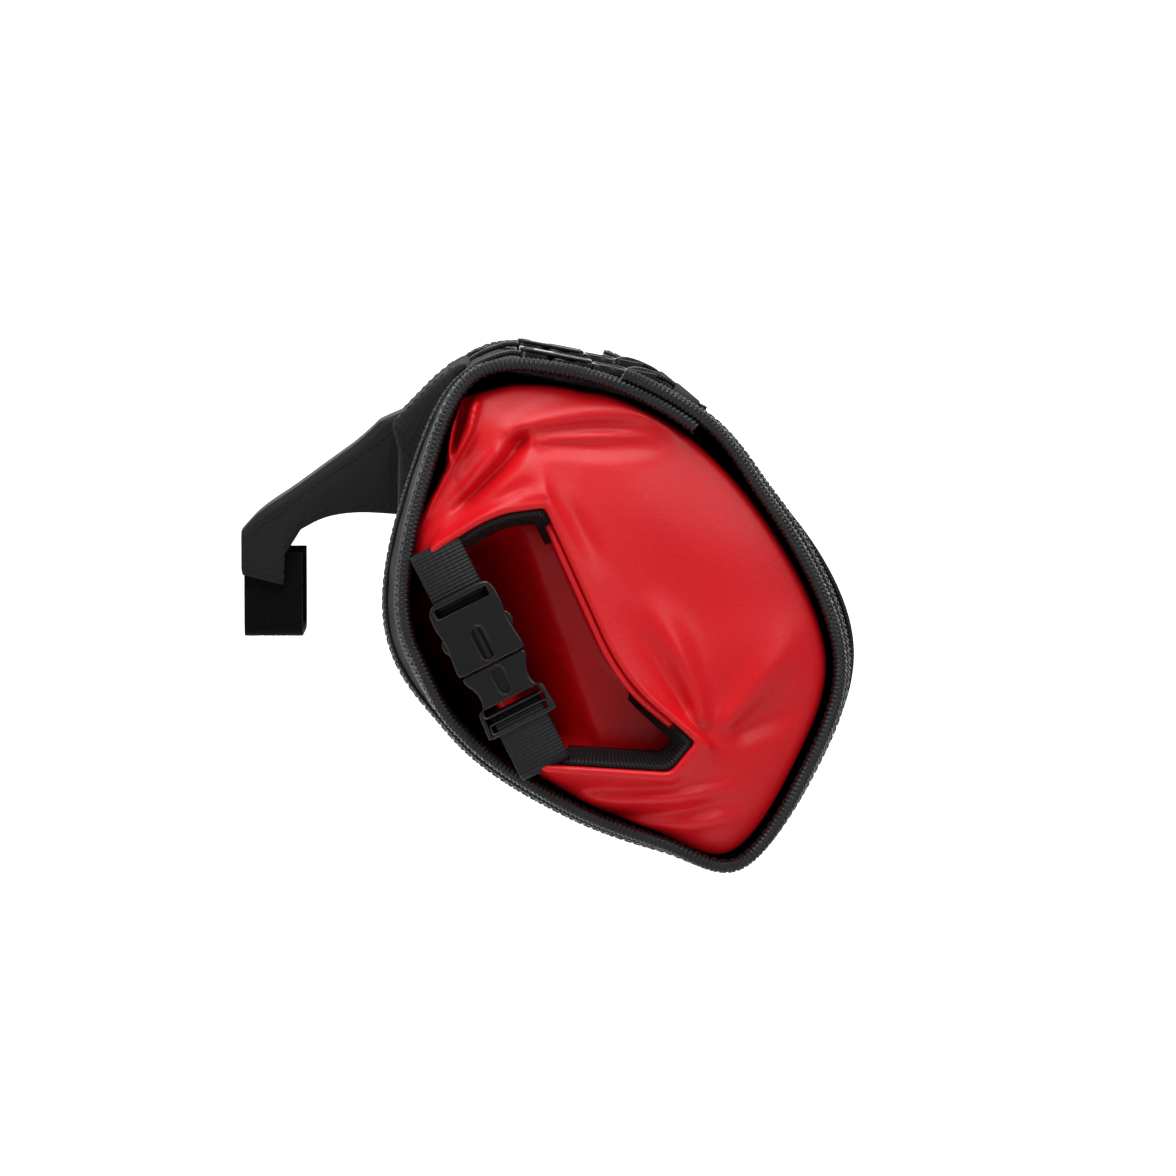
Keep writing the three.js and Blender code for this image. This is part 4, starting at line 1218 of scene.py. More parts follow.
    def end_rings(self, end: End, turn: np.ndarray) -> list[np.ndarray]:
        """Rings of one end, from inside the wrap over the folded skirt into the dish.

        Args:
            end: Which end.
            turn: Turns of the points in each ring.

        Returns:
            Rings of points.
        """
        rim = self.end_reach(turn)
        crest, lift = self.section.crest_reach(turn)
        shares = np.linspace(0, 1, self.skirt_rings) ** 1.35
        places, heights = np.array(self.profile).T
        rings = []
        for y, blend in self.tube_rings:
            tube = self.tube_reach(turn, np.full_like(turn, y))
            reach = tube + (rim - tube) * blend
            rings.append(self.ring(end, turn, reach, np.full_like(turn, y)))
        soft_crest, soft_lift = self.blurred(turn, crest), self.blurred(turn, lift)
        for share in shares:
            height = np.interp(share, places, heights)
            near = smooth(0.5, 1.0, share)
            rise = np.where(height > 0, height * (soft_lift + (lift - soft_lift) * near), height)
            inner_reach = soft_crest + (crest - soft_crest) * near
            reach = rim + (inner_reach - rim) * share
            flat = self.section.point(turn, reach)
            folded = sum(fold.height_at(flat) for fold in self.folds)
            folded = folded + sum(
                height * np.exp(-(((flat - (x, z)) / size) ** 2).sum(1)) for x, z, size, height in self.swells
            )
            keep = smooth(0.0, 0.02, share) * (1 - smooth(0.93, 1.0, share))
            rings.append(self.ring(end, turn, reach, self.end_base + rise + folded * keep))
        top = self.end_base + self.crest_rise * lift
        for inward, rise in ((0.7, 0.35), (1.5, 0.2), (self.ridge, -0.6)):
            reach, _ = self.section.crest_reach(turn, inward)
            rings.append(self.ring(end, turn, reach, top + rise))
        floor = self.end_base + self.crest_rise - self.dish_depth
        inner, _ = self.section.crest_reach(turn, self.ridge + 0.05)
        for share in (0.25, 0.5, 0.75, 1.0):
            rings.append(self.ring(end, turn, inner, top - 0.6 + (floor - top + 0.6) * share))
        for share in (0.97, 0.9, 0.8, 0.65, 0.5, 0.35, 0.2, 0.04):
            flat = self.section.point(turn, inner * share)
            across = smooth(*self.well_edge, flat[:, 0] - flat[:, 1] * self.well_slant)
            sag = 2.0 * (1 - share) + self.well_depth * (1 - across) * smooth(1.0, 0.8, share)
            shelf = self.well_shelf * across * smooth(1.0, 0.8, share)
            rings.append(self.ring(end, turn, inner * share, floor - sag + shelf))
        return rings

    def ring(self, end: End, turn: np.ndarray, reach: np.ndarray, y: np.ndarray) -> np.ndarray:
        """One ring of points at given turns, reaches and distances."""
        return in_space(self.section.point(turn, reach), end.sign * y)

    def bag(self) -> Piece:
        """The whole bag, with both folded ends."""
        turn = self.grid_turns()
        right = self.end_rings(End.RIGHT, turn)[::-1]
        left = self.end_rings(End.LEFT, turn)
        rings = np.array(right + left)
        piece = loft_mesh("dry_bag_cloth", rings)
        attach(piece, "red_coated_fabric", self.wardrobe.get(RED_COATED), "dry_bag")
        return piece

    def arm_path(self, inward: float, trim: float) -> np.ndarray:
        """Path along the inside of the crest's arms.

        Args:
            inward: Distance from the crest.
            trim: Length left out at each end.

        Returns:
            Rows of x and z.
        """
        curve = self.section.crest_curve(inward)[:, :2]
        corners = self.section.crest_points(inward)[:, :2]
        ends = (corners[0], corners[self.section.crest_arms - 1])
        first, last = (int(np.argmin(np.linalg.norm(curve - corner, axis=1))) for corner in ends)
        rows = curve[first:last + 1]
        total = path_length(rows)
        return along_path(rows, np.linspace(trim, total - trim, 260))

    def front_arm(self, path: np.ndarray) -> np.ndarray:
        """Share by which points of the arms' path lie on the bare front arm, clear of its kinks."""
        corners = self.section.crest_points(self.ridge)[2:5, :2]
        run = run_lengths(path)
        start, stop = (run[np.argmin(np.linalg.norm(path - corners[k], axis=1))] for k in (0, 2))
        share = (run - start) / (stop - start)
        return smooth(0.02, 0.15, share) * smooth(0.0, 0.36, 1 - share)

    def strip(
        self, name: str, end: End, faces: list[tuple[float, float]], sinks: tuple[float, float],
    ) -> Piece:
        """Band along the inside of the crest, through a closed profile.

        Args:
            name: Name of the piece.
            end: Which end.
            faces: Profile as distance inward from the crest and distance from the middle.
            sinks: How much deeper it lies along the front arm, and elsewhere.

        Returns:
            The object.
        """
        lines = []
        for inward, y in faces:
            path = self.arm_path(inward, self.ridge + 3.0)
            bare = self.front_arm(path)
            deep = y - sinks[0] * bare - sinks[1] * (1 - bare)
            lines.append(in_space(path, end.sign * deep))
        rings = np.stack(lines, 1)
        return loft_mesh(name, rings, cloth_uv(run_lengths(np.array(faces)), run_lengths(rings[:, 0])))

    def roll_piece(self, end: End) -> Piece:
        """The rolled mouth, two layers of the bag's cloth with a rounded edge."""
        near = self.ridge + 0.1
        top = self.end_base + self.crest_rise - self.mouth_drop
        thick = self.roll
        profile = [(near, top - self.mouth_depth)]
        profile += [
            (near + thick / 2 - np.cos(a) * thick / 2, top - thick / 2 + np.sin(a) * thick / 2)
            for a in np.linspace(0, np.pi, 7)
        ]
        profile += [(near + thick, top - self.mouth_depth)]
        piece = self.strip(f"rolled_mouth_{end.label}", end, profile, self.roll_sinks)
        return attach(piece, "red_coated_fabric", self.wardrobe.get(RED_COATED), f"roll_closure_{end.label}")

    def webbing_piece(self, end: End) -> Piece:
        """Webbing along the inside of the roll, leaning in with its depth."""
        top = self.end_base + self.crest_rise - self.mouth_drop
        high = self.ridge + 0.3
        low = self.ridge + self.roll + 1.2
        outer = [(low, top - 20.0), (low, top - 6.5), (high + 0.6, top - 2.0), (high, top)]
        inner = [(x + self.webbing, y) for x, y in reversed(outer)]
        piece = self.strip(f"mouth_webbing_{end.label}", end, outer + inner, self.webbing_sinks)
        return attach(piece, "webbing", self.wardrobe.get(WEBBING), f"closure_webbing_{end.label}")


# Buckles


def outline_with_corners(corners: list[tuple[float, float]], radius: float) -> np.ndarray:
    """Closed outline whose corners are rounded.

    Args:
        corners: The corners in order.
        radius: Length cut from each side of a corner.

    Returns:
        Rows of points.
    """
    rows = np.array(corners, float)
    points = []
    for before, corner, after in zip(np.roll(rows, 1, axis=0), rows, np.roll(rows, -1, axis=0)):
        reach = [min(radius, 0.48 * np.linalg.norm(end - corner)) for end in (before, after)]
        first = corner + (before - corner) / np.linalg.norm(before - corner) * reach[0]
        last = corner + (after - corner) / np.linalg.norm(after - corner) * reach[1]
        for t in np.linspace(0, 1, 6):
            points.append((1 - t) ** 2 * first + 2 * t * (1 - t) * corner + t**2 * last)
    return np.array(points)


def even_outline(side: list[tuple[float, float]], radius: float) -> np.ndarray:
    """Closed outline with rounded corners that is the same on both sides of the x axis.

    Args:
        side: The corners on one side, in order.
        radius: Length cut from each side of a corner.

    Returns:
        Rows of points.
    """
    return outline_with_corners([*side, *((x, -y) for x, y in reversed(side))], radius)


def slot_outline(x0: float, x1: float, half: float) -> np.ndarray:
    """Outline of a slot with round ends along x.

    Args:
        x0: Where it starts.
        x1: Where it ends.
        half: Half of its width.

    Returns:
        Rows of points.
    """
    bend = np.linspace(-np.pi / 2, np.pi / 2, 9)
    right = np.stack([x1 - half + half * np.cos(bend), half * np.sin(bend)], -1)
    left = np.stack([x0 + half - half * np.cos(bend), -half * np.sin(bend)], -1)
    return np.concatenate([right, left])


@dataclass(frozen=True)
class Layer:
    """One moulded layer of a buckle: its outline, its holes and its height."""

    outline: np.ndarray
    holes: tuple[np.ndarray, ...]
    low: float
    high: float
    edge: float = 0.45

    def points_and_faces(self) -> tuple[np.ndarray, list[list[int]]]:
        """Shapes the layer as a filled curve with rounded edges.

        Returns:
            Points in millimetres and faces.
        """
        curve = bpy.data.curves.new("layer", "CURVE")
        curve.dimensions = "2D"
        curve.fill_mode = "BOTH"
        edge = min(self.edge, (self.high - self.low) * 0.45)
        curve.extrude = (self.high - self.low) / 2 - edge
        curve.bevel_depth = edge
        curve.bevel_resolution = 2
        curve.offset = -edge
        for rows in (self.outline, *self.holes):
            spline = curve.splines.new("POLY")
            spline.points.add(len(rows) - 1)
            flat = np.concatenate([rows, np.zeros((len(rows), 1)), np.ones((len(rows), 1))], 1)
            spline.points.foreach_set("co", flat.ravel())
            spline.use_cyclic_u = True
        shape = new_object("layer", curve)
        bpy.context.view_layer.update()
        graph = bpy.context.evaluated_depsgraph_get()
        mesh = bpy.data.meshes.new_from_object(shape.evaluated_get(graph))
        points = np.array([v.co for v in mesh.vertices]) + (0, 0, (self.low + self.high) / 2)
        faces = [list(face.vertices) for face in mesh.polygons]
        bpy.data.objects.remove(shape)
        bpy.data.curves.remove(curve)
        bpy.data.meshes.remove(mesh)
        return points, faces


def layered_mesh(name: str, layers: list[Layer], matrix: Matrix) -> Piece:
    """One mesh of several layers, set in its place.

    Args:
        name: Name of the piece.
        layers: The layers in the buckle's own plane.
        matrix: Where the buckle lies, in millimetres.

    Returns:
        The object.
    """
    points = []
    faces = []
    count = 0
    for layer in layers:
        own, polygons = layer.points_and_faces()
        points.append(own)
        faces += [[index + count for index in polygon] for polygon in polygons]
        count += len(own)
    flat = np.concatenate(points)
    turned = flat @ np.array(matrix.to_3x3()).T + np.array(matrix.translation)
    mesh = bpy.data.meshes.new(name)
    mesh.from_pydata((turned * MM).tolist(), [], faces)
    mesh.update()
    mesh.polygons.foreach_set("use_smooth", np.ones(len(mesh.polygons), bool))
    mesh.set_sharp_from_angle(angle=np.radians(40))
    return new_object(name, mesh)


@dataclass
class Buckle:
    """Side-release buckle lying in its own plane, with its length along x, in millimetres."""

    wardrobe: Wardrobe
    length: float = 48.0
    joint: float = 25.6
    thick: float = 6.0
    wall: float = 1.35
    gap: float = 0.35

    def body_layers(self) -> list[Layer]:
        """Socket half: two faces, a hub with the webbing slot, and the side windows between.

        Returns:
            Its layers.
        """
        end = self.joint - self.gap
        face = even_outline(
            [(0, -9.6), (2.2, -11.6), (8, -11.9), (13, -10.9), (18, -11.4), (end, -12.2)], 2.4,
        )
        slot = even_outline([(1.7, -9.4), (4.9, -9.4)], 0.6)
        window = slot_outline(12.5, end - 1.4, 2.0)
        hub = even_outline([(0.3, -9.4), (2.4, -11.2), (9.4, -11.4), (11.6, -9.0)], 1.8)
        top = self.thick / 2
        inside = top - self.wall * 0.8
        layers = [
            Layer(face, (slot, window), top - self.wall, top),
            # The back face stays whole under the window: dark plastic standing in for the shade seen through
            # it, so the red cloth behind does not show.
            Layer(face, (slot,), -top, -top + self.wall),
            Layer(hub, (slot,), -inside, inside, 0.3),
        ]
        for way in (-1, 1):
            corners = [(end - 5.6, 8.6), (end - 0.1, 8.6), (end - 0.1, 12.0), (end - 5.2, 11.4)]
            post = outline_with_corners([(x, way * y) for x, y in corners][::way], 0.6)
            layers.append(Layer(post, (), -inside, inside, 0.3))
        rim = slot_outline(11.7, end - 0.7, 2.8)
        layers.append(Layer(rim, (window,), top - 0.3, top + 0.25, 0.2))
        return layers

    def prong_layers(self) -> list[Layer]:
        """Plug half: two spring arms, a waist with a long slot and a ladder for the webbing.

        Returns:
            Its layers.
        """
        start = self.joint
        top = self.thick / 2
        base = even_outline(
            [(start, -11.4), (start + 2.6, -11.2), (start + 6.2, -9.0), (start + 11.0, -8.9),
             (start + 14.0, -11.6), (self.length, -12.4)], 2.2,
        )
        slot = slot_outline(start + 1.4, start + 10.6, 1.9)
        ladder = [
            even_outline([(x0, -9.9), (x1, -9.9)], 0.5)
            for x0, x1 in ((start + 12.6, start + 15.0), (start + 18.4, start + 20.8))
        ]
        layers = [
            Layer(base, (slot, *ladder), -top + 0.9, top - 0.8, 0.6),
            Layer(slot_outline(start + 0.5, start + 11.5, 2.8), (slot,), top - 1.2, top - 0.35, 0.25),
            # Thin blind layer under the long slot: dark plastic standing in for the shade seen through the
            # slot, so the red cloth behind does not show.
            Layer(slot_outline(start + 1.0, start + 11.0, 2.3), (), -top + 1.0, -top + 1.7, 0.2),
        ]
        for way in (-1, 1):
            corners = [(start + 0.4, 7.0), (start + 0.4, 10.0), (19.0, 10.4), (15.5, 12.6), (12.6, 12.4),
                       (11.0, 9.4), (11.0, 7.4), (13.0, 7.6), (18.0, 7.2)]
            arm = outline_with_corners([(x, way * y) for x, y in corners][::way], 1.2)
            layers.append(Layer(arm, (), -top + self.wall + 0.15, top - self.wall - 0.15, 0.45))
            corners = [(start + 12.0, 10.4), (self.length - 0.3, 10.9), (self.length - 0.3, 12.3),
                       (start + 13.2, 11.7)]
            rail = outline_with_corners([(x, way * y) for x, y in corners][::way], 0.5)
            layers.append(Layer(rail, (), -top + 0.6, top - 0.2, 0.4))
        tongue = even_outline([(9.2, -1.1), (start + 0.6, -1.1)], 0.6)
        layers.append(Layer(tongue, (), -1.2, 1.2, 0.3))
        return layers

    def place(
        self, prefix: str, end: End, middle: Vector, along: Vector, face: Vector,
    ) -> list[Piece]:
        """Sets both halves at a middle point.

        Args:
            prefix: First words of its solids' names.
            end: Which end.
            middle: Its middle.
            along: Direction from the body to the prong half.
            face: Direction out of its face.

        Returns:
            The two pieces.
        """
        across = face.cross(along).normalized()
        matrix = Matrix((along, across, face)).transposed().to_4x4()
        matrix.translation = middle - along * (self.length / 2)
        pieces = []
        for half, layers in (("body", self.body_layers()), ("prong", self.prong_layers())):
            piece = layered_mesh(f"{prefix}_{half}_moulding_{end.label}", layers, matrix)
            attach(piece, "buckle_plastic", self.wardrobe.get(ACETAL), f"{prefix}_{half}_{end.label}")
            pieces.append(piece)
        return pieces


# Webbing


def points_from(
    origin: Vector, along: Vector, face: Vector, places: list[tuple[float, float]],
) -> list[tuple[float, float, float]]:
    """Points at given lengths along two directions from an origin.

    Args:
        origin: Where both lengths are 0.
        along: First direction.
        face: Second direction.
        places: A pair of lengths for each point.

    Returns:
        The points.
    """
    return [tuple(origin + along * u + face * v) for u, v in places]


@dataclass
class Hardware:
    """Buckles, their tabs and the compression straps, in millimetres."""

    section: Section
    wardrobe: Wardrobe
    width: float = 20.0
    thick: float = 1.6
    buckle_turn: float = 86.0
    anchor_turns: tuple[float, float] = (110.0, 117.0)
    buckle_thick: float = 6.0
    buckle_length: float = 48.0
    strap_proud: float = 4.5
    tail_length: float = 19.0
    crest_y: float = 182.0
    ridge: float = 2.2

    def build(self) -> list[Piece]:
        """Makes the buckles and the webbing.

        Returns:
            The pieces.
        """
        pieces = []
        for end in End:
            pieces += self.closure(end)
            pieces += self.compression(end)
        return pieces

    def strap(
        self, name: str, middles: np.ndarray, normals: np.ndarray, across: np.ndarray, width: float,
    ) -> Piece:
        """Webbing with rounded edges along a path.

        Args:
            name: Name of the piece.
            middles: Middle of the webbing at each station.
            normals: Direction out of its face at each.
            across: Direction over its width.
            width: Its width.

        Returns:
            The object.
        """
        half = width / 2
        thick = self.thick / 2
        upper = [(-half + 0.9, thick), (0.0, thick), (half - 0.9, thick), (half - 0.25, thick * 0.65),
                 (half, 0.0), (half - 0.25, -thick * 0.65)]
        profile = np.array(upper + [(-a, -b) for a, b in upper])
        rings = np.stack([middles + across * a + normals * b for a, b in profile], 1)
        return loft_mesh(name, rings, cloth_uv(profile[:, 0], run_lengths(middles)))

    def flat_path(self, middles: np.ndarray, side: Vector) -> tuple[np.ndarray, np.ndarray]:
        """Direction out of a strap whose width lies along one fixed direction.

        Args:
            middles: Its middle line.
            side: Direction over its width.

        Returns:
            Normals and the width's directions.
        """
        along = np.gradient(middles, axis=0)
        across = np.tile(np.array(side), (len(middles), 1))
        return unit(np.cross(along, across)), across

    def closure(self, end: End) -> list[Piece]:
        """Buckle across the open side of the rolled ring, with its two webbing tabs."""
        arms = self.section.crest_points(self.ridge)[: self.section.crest_arms, :2]
        upper, lower = (Vector((p[0], 0.0, p[1])) for p in (arms[0], arms[-1]))
        along = (lower - upper).normalized()
        face = Vector((0.0, end.sign, 0.0))
        middle = (upper + lower) / 2 + Vector((0.0, end.sign * (self.crest_y + 1.0), 0.0))
        pieces = Buckle(self.wardrobe).place("closure_buckle", end, middle, along, face)
        across = face.cross(along).normalized()
        reach = (lower - upper).length / 2
        for label, way, inset in (("upper", -1.0, 3.3), ("lower", 1.0, 5.4)):
            start = self.buckle_length / 2 - inset
            loop = [
                (start - 2.4, -2.2), (start - 0.5, -2.4), (start + 1.2, -0.4), (start + 3.0, 0.9),
                (start + 8.0, 0.6), (reach - 3.0, -0.2), (reach + 0.4, -1.2), (reach + 1.6, -5.0),
                (reach + 0.6, -10.0),
            ]
            path = rounded_path(points_from(middle, along * way, face, loop), 0.8)
            normals, sides = self.flat_path(path, across * way)
            piece = self.strap(f"closure_webbing_{label}_{end.label}", path, normals, sides, self.width - 2.4)
            attach(piece, "webbing", self.wardrobe.get(WEBBING), f"closure_tab_{label}_{end.label}")
            pieces.append(piece)
        return pieces

    def on_wrap(self, end: End, turns: np.ndarray, heights: np.ndarray) -> np.ndarray:
        """Points over the wrap at the straps' distance from the middle."""
        y = np.full_like(turns, self.section.strap_offset * end.sign)
        out = beside(unit(self.section.face(turns + 0.5, y) - self.section.face(turns - 0.5, y)))
        return in_space(self.section.face(turns, y) + out * heights[:, None], y)

    def compression(self, end: End) -> list[Piece]:
        """Buckle on the top, its anchor behind and its strap over the top and down the front."""
        gap = self.section.gap
        rest = gap + self.thick / 2
        turn = np.array([self.buckle_turn])
        height = np.array([self.buckle_thick / 2 + self.section.lap_lift + gap])
        seat = Vector(self.on_wrap(end, turn, height)[0])
        higher = Vector(self.on_wrap(end, turn, height + 1.0)[0])
        face = (higher - seat).normalized()
        along = Vector((face.z, 0.0, -face.x))
        side = Vector((0.0, 1.0, 0.0))
        pieces = Buckle(self.wardrobe).place("compression_buckle", end, seat, along, face)

        half = self.buckle_length / 2
        entry = points_from(seat, -along, face, [
            (half - 5.6, -2.4), (half - 3.6, -2.6), (half - 2.2, -0.6), (half - 0.4, 0.8), (half + 5.0, -0.4),
        ])
        low = self.on_wrap(end, np.array(self.anchor_turns), np.array([rest + 0.2, rest]))
        path = rounded_path([*entry, *map(tuple, low)], 0.8)
        normals, sides = self.flat_path(path, -side)
        anchor = self.strap(f"anchor_webbing_{end.label}", path, normals, sides, self.width)
        attach(anchor, "webbing", self.wardrobe.get(WEBBING), f"compression_anchor_{end.label}")
        pieces.append(anchor)

        turns = np.arange(54.0, -54.1, -3.0)
        lap = self.section.lap_lift * smooth(36, 52, turns)
        proud = self.strap_proud * np.maximum(0, np.sin((30 - turns) / 84 * np.pi))
        main = self.on_wrap(end, turns, rest + lap + proud)
        lead = points_from(seat, along, face, [
            (half - 6.4, -2.4), (half - 4.4, -2.4), (half - 2.6, -0.4), (half - 0.6, 0.9), (half + 2.0, 0.2),
        ])
        path = rounded_path([*lead, *map(tuple, main)], 0.9)
        normals, sides = self.flat_path(path, side)
        strap = self.strap(f"strap_webbing_{end.label}", path, normals, sides, self.width)
        attach(strap, "webbing", self.wardrobe.get(WEBBING), f"compression_strap_{end.label}")
        pieces.append(strap)
        return pieces + self.tail(end, seat, along, face, path, normals)

    def tail(
        self, end: End, seat: Vector, along: Vector, face: Vector, under: np.ndarray, out_of: np.ndarray,
    ) -> list[Piece]:
        """Loose tail folded back over the strap, and the elastic keeper round both.

        Args:
            end: Which end.
            seat: Middle of the buckle.
            along: Direction of its prong half.
            face: Direction out of its face.
            under: Middle line of the strap.
            out_of: Direction out of the strap at each of its points.

        Returns:
            The tail and the keeper.
        """
        side = Vector((0.0, 1.0, 0.0))
        half = self.buckle_length / 2
        past = (under - np.array(seat)) @ np.array(along) - half
        clear = (past > 3.0) & (past < self.tail_length)
        on_strap = np.flatnonzero(clear & (out_of @ np.array(face) > 0))[::3]
        over = under[on_strap] + out_of[on_strap] * (self.thick + 0.45)
        over[-1] += out_of[on_strap[-1]] * 0.8
        lead = points_from(seat, along, face, [
            (half - 11.5, -1.4), (half - 10.2, 1.4), (half - 8.0, 2.9), (half - 3.0, 2.9),
        ])
        path = rounded_path([*lead, *map(tuple, over)], 0.8)
        normals, sides = self.flat_path(path, side)
        tail = self.strap(f"strap_tail_{end.label}", path, normals, sides, self.width - 0.6)
        attach(tail, "webbing", self.wardrobe.get(WEBBING))
        spot = on_strap[len(on_strap) // 2]
        out = Vector(out_of[spot])
        middle = Vector(under[spot]) + out * 0.6
        run = side.cross(out).normalized()
        wide = self.width / 2 + 1.2
        high = 2.9
        bend = outline_with_corners([(-wide, -1.5), (wide, -1.5), (wide, high), (-wide, high)], 1.8)
        rings = []
        for u, grow in ((-5.0, -0.3), (-4.4, 0.0), (4.4, 0.0), (5.0, -0.3)):
            rings.append([
                middle + run * u + side * (a * (1 + grow / wide)) + out * (b + grow * np.sign(b))
                for a, b in bend
            ])
        keeper = loft_mesh(f"tail_keeper_{end.label}", np.array(rings))
        attach(keeper, "grey_nylon", self.wardrobe.get(ELASTIC))
        return [tail, keeper]


# Saddle, stem band and back pad


@dataclass
class Saddle:
    """Cover over the bar and the stem, its hook-and-loop band and the padded back."""

    section: Section
    wardrobe: Wardrobe
    width: float = 54.0
    wall: float = 2.2
    reach: float = 34.7
    top: float = 58.1
    corner: float = 3.2
    strap_width: float = 21.0
    strap_drop: float = 18.0
    strap_half: float = 1.1
    strap_fuzz: float = 0.14
    front: float = 21.4
    around: float = 120.0
    wall_share: float = 0.55
    bend_share: float = 0.15
    bow: float = 0.7
    crown: float = 0.5
    flap_rows: int = 4
    seam_inset: float = 2.8
    pad_turns: tuple[float, float] = (110.0, 160.0)
    pad_half: float = 72.0
    pad_round: float = 8.0
    pad_thin: float = 1.4
    pad_seam_turns: tuple[float, float] = (114.0, 156.0)
    pad_seam_y: float = 65.0
    pad_give: float = 0.0008
    # x as a share of reach and z as a share of top
    top_edge: tuple[tuple[float, float], ...] = (
        (-1.0, 0.34), (-0.97, 0.36), (-0.8, 0.47), (-0.386, 0.6265), (1.0, 1.26),
    )
    lower_edge: tuple[tuple[float, float], ...] = (
        (-1.0, 0.16), (-0.985, 0.076), (-0.56, 0.012), (-0.545, 0.2), (-0.386, 0.35), (-0.16, 0.425),
        (0.1, 0.456), (0.4, 0.456), (1.0, 0.42),
    )
    # Outer face of the pad, as shares of the wrap's depth and height
    pad_face: tuple[tuple[float, float], ...] = (
        (-0.345, 0.499), (-0.425, 0.442), (-0.517, 0.36), (-0.5, 0.308), (-0.502, 0.187), (-0.514, 0.06),
    )

    def build(self) -> list[Piece]:
        """Makes the saddle, the band and the pad.

        Returns:
            The pieces.
        """
        return [self.cover(), self.band(), *self.pad()]

    def heights(self, x: np.ndarray) -> tuple[np.ndarray, np.ndarray]:
        """Top and lower edge of the side walls.

        Args:
            x: Places along the saddle.

        Returns:
            Two rows of heights.
        """
        upper = rounded_path(np.array(self.top_edge) * (self.reach, self.top), 0.4)
        lower = np.array(self.lower_edge) * (self.reach, self.top)
        lower = np.concatenate([lower[:self.flap_rows], rounded_path(lower[self.flap_rows:], 0.4)])
        return np.interp(x, upper[:, 0], upper[:, 1]), np.interp(x, lower[:, 0], lower[:, 1])

    def pad_x(self, z: np.ndarray) -> np.ndarray:
        """Place of the pad's outer face at a height."""
        rows = np.array([self.section.place(x, z0) for x, z0 in self.pad_face])[::-1]
        return np.interp(z, rows[:, 1], rows[:, 0])

    def cover_point(self, x: np.ndarray, share: np.ndarray, inset: float) -> np.ndarray:
        """Point of the cover over a place and a share of the way from its right edge to its left.

        Args:
            x: Places along the saddle.
            share: 0 at the right lower edge, 1 at the left.
            inset: Depth under the outer face.

        Returns:
            Rows of x, y and z.
        """
        upper, lower = self.heights(x)
        side = np.where(share < 0.5, -1.0, 1.0)
        up = 1 - np.abs(share - 0.5) * 2
        half = self.width / 2 - inset
        radius = self.corner - inset * 0.6
        roof_from = self.wall_share + self.bend_share
        wall = np.clip(up / self.wall_share, 0, 1)
        bend = np.clip((up - self.wall_share) / self.bend_share, 0, 1) * np.pi / 2
        roof = np.clip((up - roof_from) / (1 - roof_from), 0, 1)
        shoulder = upper - radius
        z = lower + (shoulder - inset - lower) * wall + radius * np.sin(bend)
        y = half - radius * (1 - np.cos(bend)) - (half - radius) * roof
        bow = self.bow * np.sin(np.pi * wall) * (1 - bend / (np.pi / 2)) * smooth(-self.reach, -5, x)
        z = z + self.crown * np.sin(np.pi * roof / 2) * (inset == 0)
        limit = self.pad_x(z) - self.section.gap
        pull = smooth(0.45, 1.0, (x + self.reach) / (self.front + self.reach))
        placed = x + (limit - self.front) * pull
        return np.stack([placed, side * (y + bow), z], -1)

    def cover(self) -> Piece:
        """The folded cover with its stitched edges."""
        xs = np.concatenate([
            np.linspace(-self.reach + 0.3, -19.8, 34), np.linspace(-19.4, -18.8, 5),
            np.linspace(-18.4, self.front, 84),
        ])
        shares = np.concatenate([np.linspace(0, 0.5, 44), np.linspace(0.5, 1, 44)[1:]])
        x, share = np.meshgrid(xs, shares)
        outer = self.cover_point(x, share, 0.0)
        inner = self.cover_point(x, share, self.wall)
        uv = np.stack([x, share * self.around], -1) * MM
        piece = sheet_mesh("saddle_cover", outer, inner, uv)
        edge = piece.modifiers.new("soft edge", "BEVEL")
        edge.width = 0.5 * MM
        edge.segments = 2
        edge.limit_method = "ANGLE"
        edge.angle_limit = np.radians(50)
        attach(piece, "saddle_fabric", self.wardrobe.get(RUBBER_COATED), "mount_saddle")
        for name, side in (("right", 0.0), ("left", 1.0)):
            self.seams(name, side)
        return piece

    def seams(self, name: str, side: float) -> None:
        """Rows of stitches under the top edge, along the arch and beside the pad.

        Args:
            name: Which side.
            side: Share of that side's lower edge.
        """
        way = 1.0 if side == 0.0 else -1.0
        lines = []
        xs = np.linspace(-self.reach + 3.5, 20.0, 400)
        lines.append((xs, np.full_like(xs, side + way * 0.25)))
        xs = np.linspace(-self.reach + 2.2, 20.4, 400)
        upper, lower = self.heights(xs)
        up = np.clip(self.seam_inset / (upper - self.corner - lower), 0, 0.6)
        lines.append((xs, side + way * 0.5 * self.wall_share * up))
        ups = np.linspace(0.08, 0.5, 160)
        lines.append((np.full_like(ups, 17.2), side + way * 0.5 * ups))
        lines.append((np.full_like(ups, -self.reach + 2.4), side + way * 0.5 * ups))
        for number, (x, share) in enumerate(lines):
            path = self.cover_point(x, share, -0.05)
            middles = along_path(path, np.arange(1.5, run_lengths(path)[-1] - 1.5, 3.0))
            normals = np.tile((0.0, -way, 0.0), (len(middles), 1))
            row = stitches(f"saddle_stitches_{name}_{number}", middles, normals, 1.9, 0.5)
            attach(row, "saddle_fabric", self.wardrobe.get(THREAD))

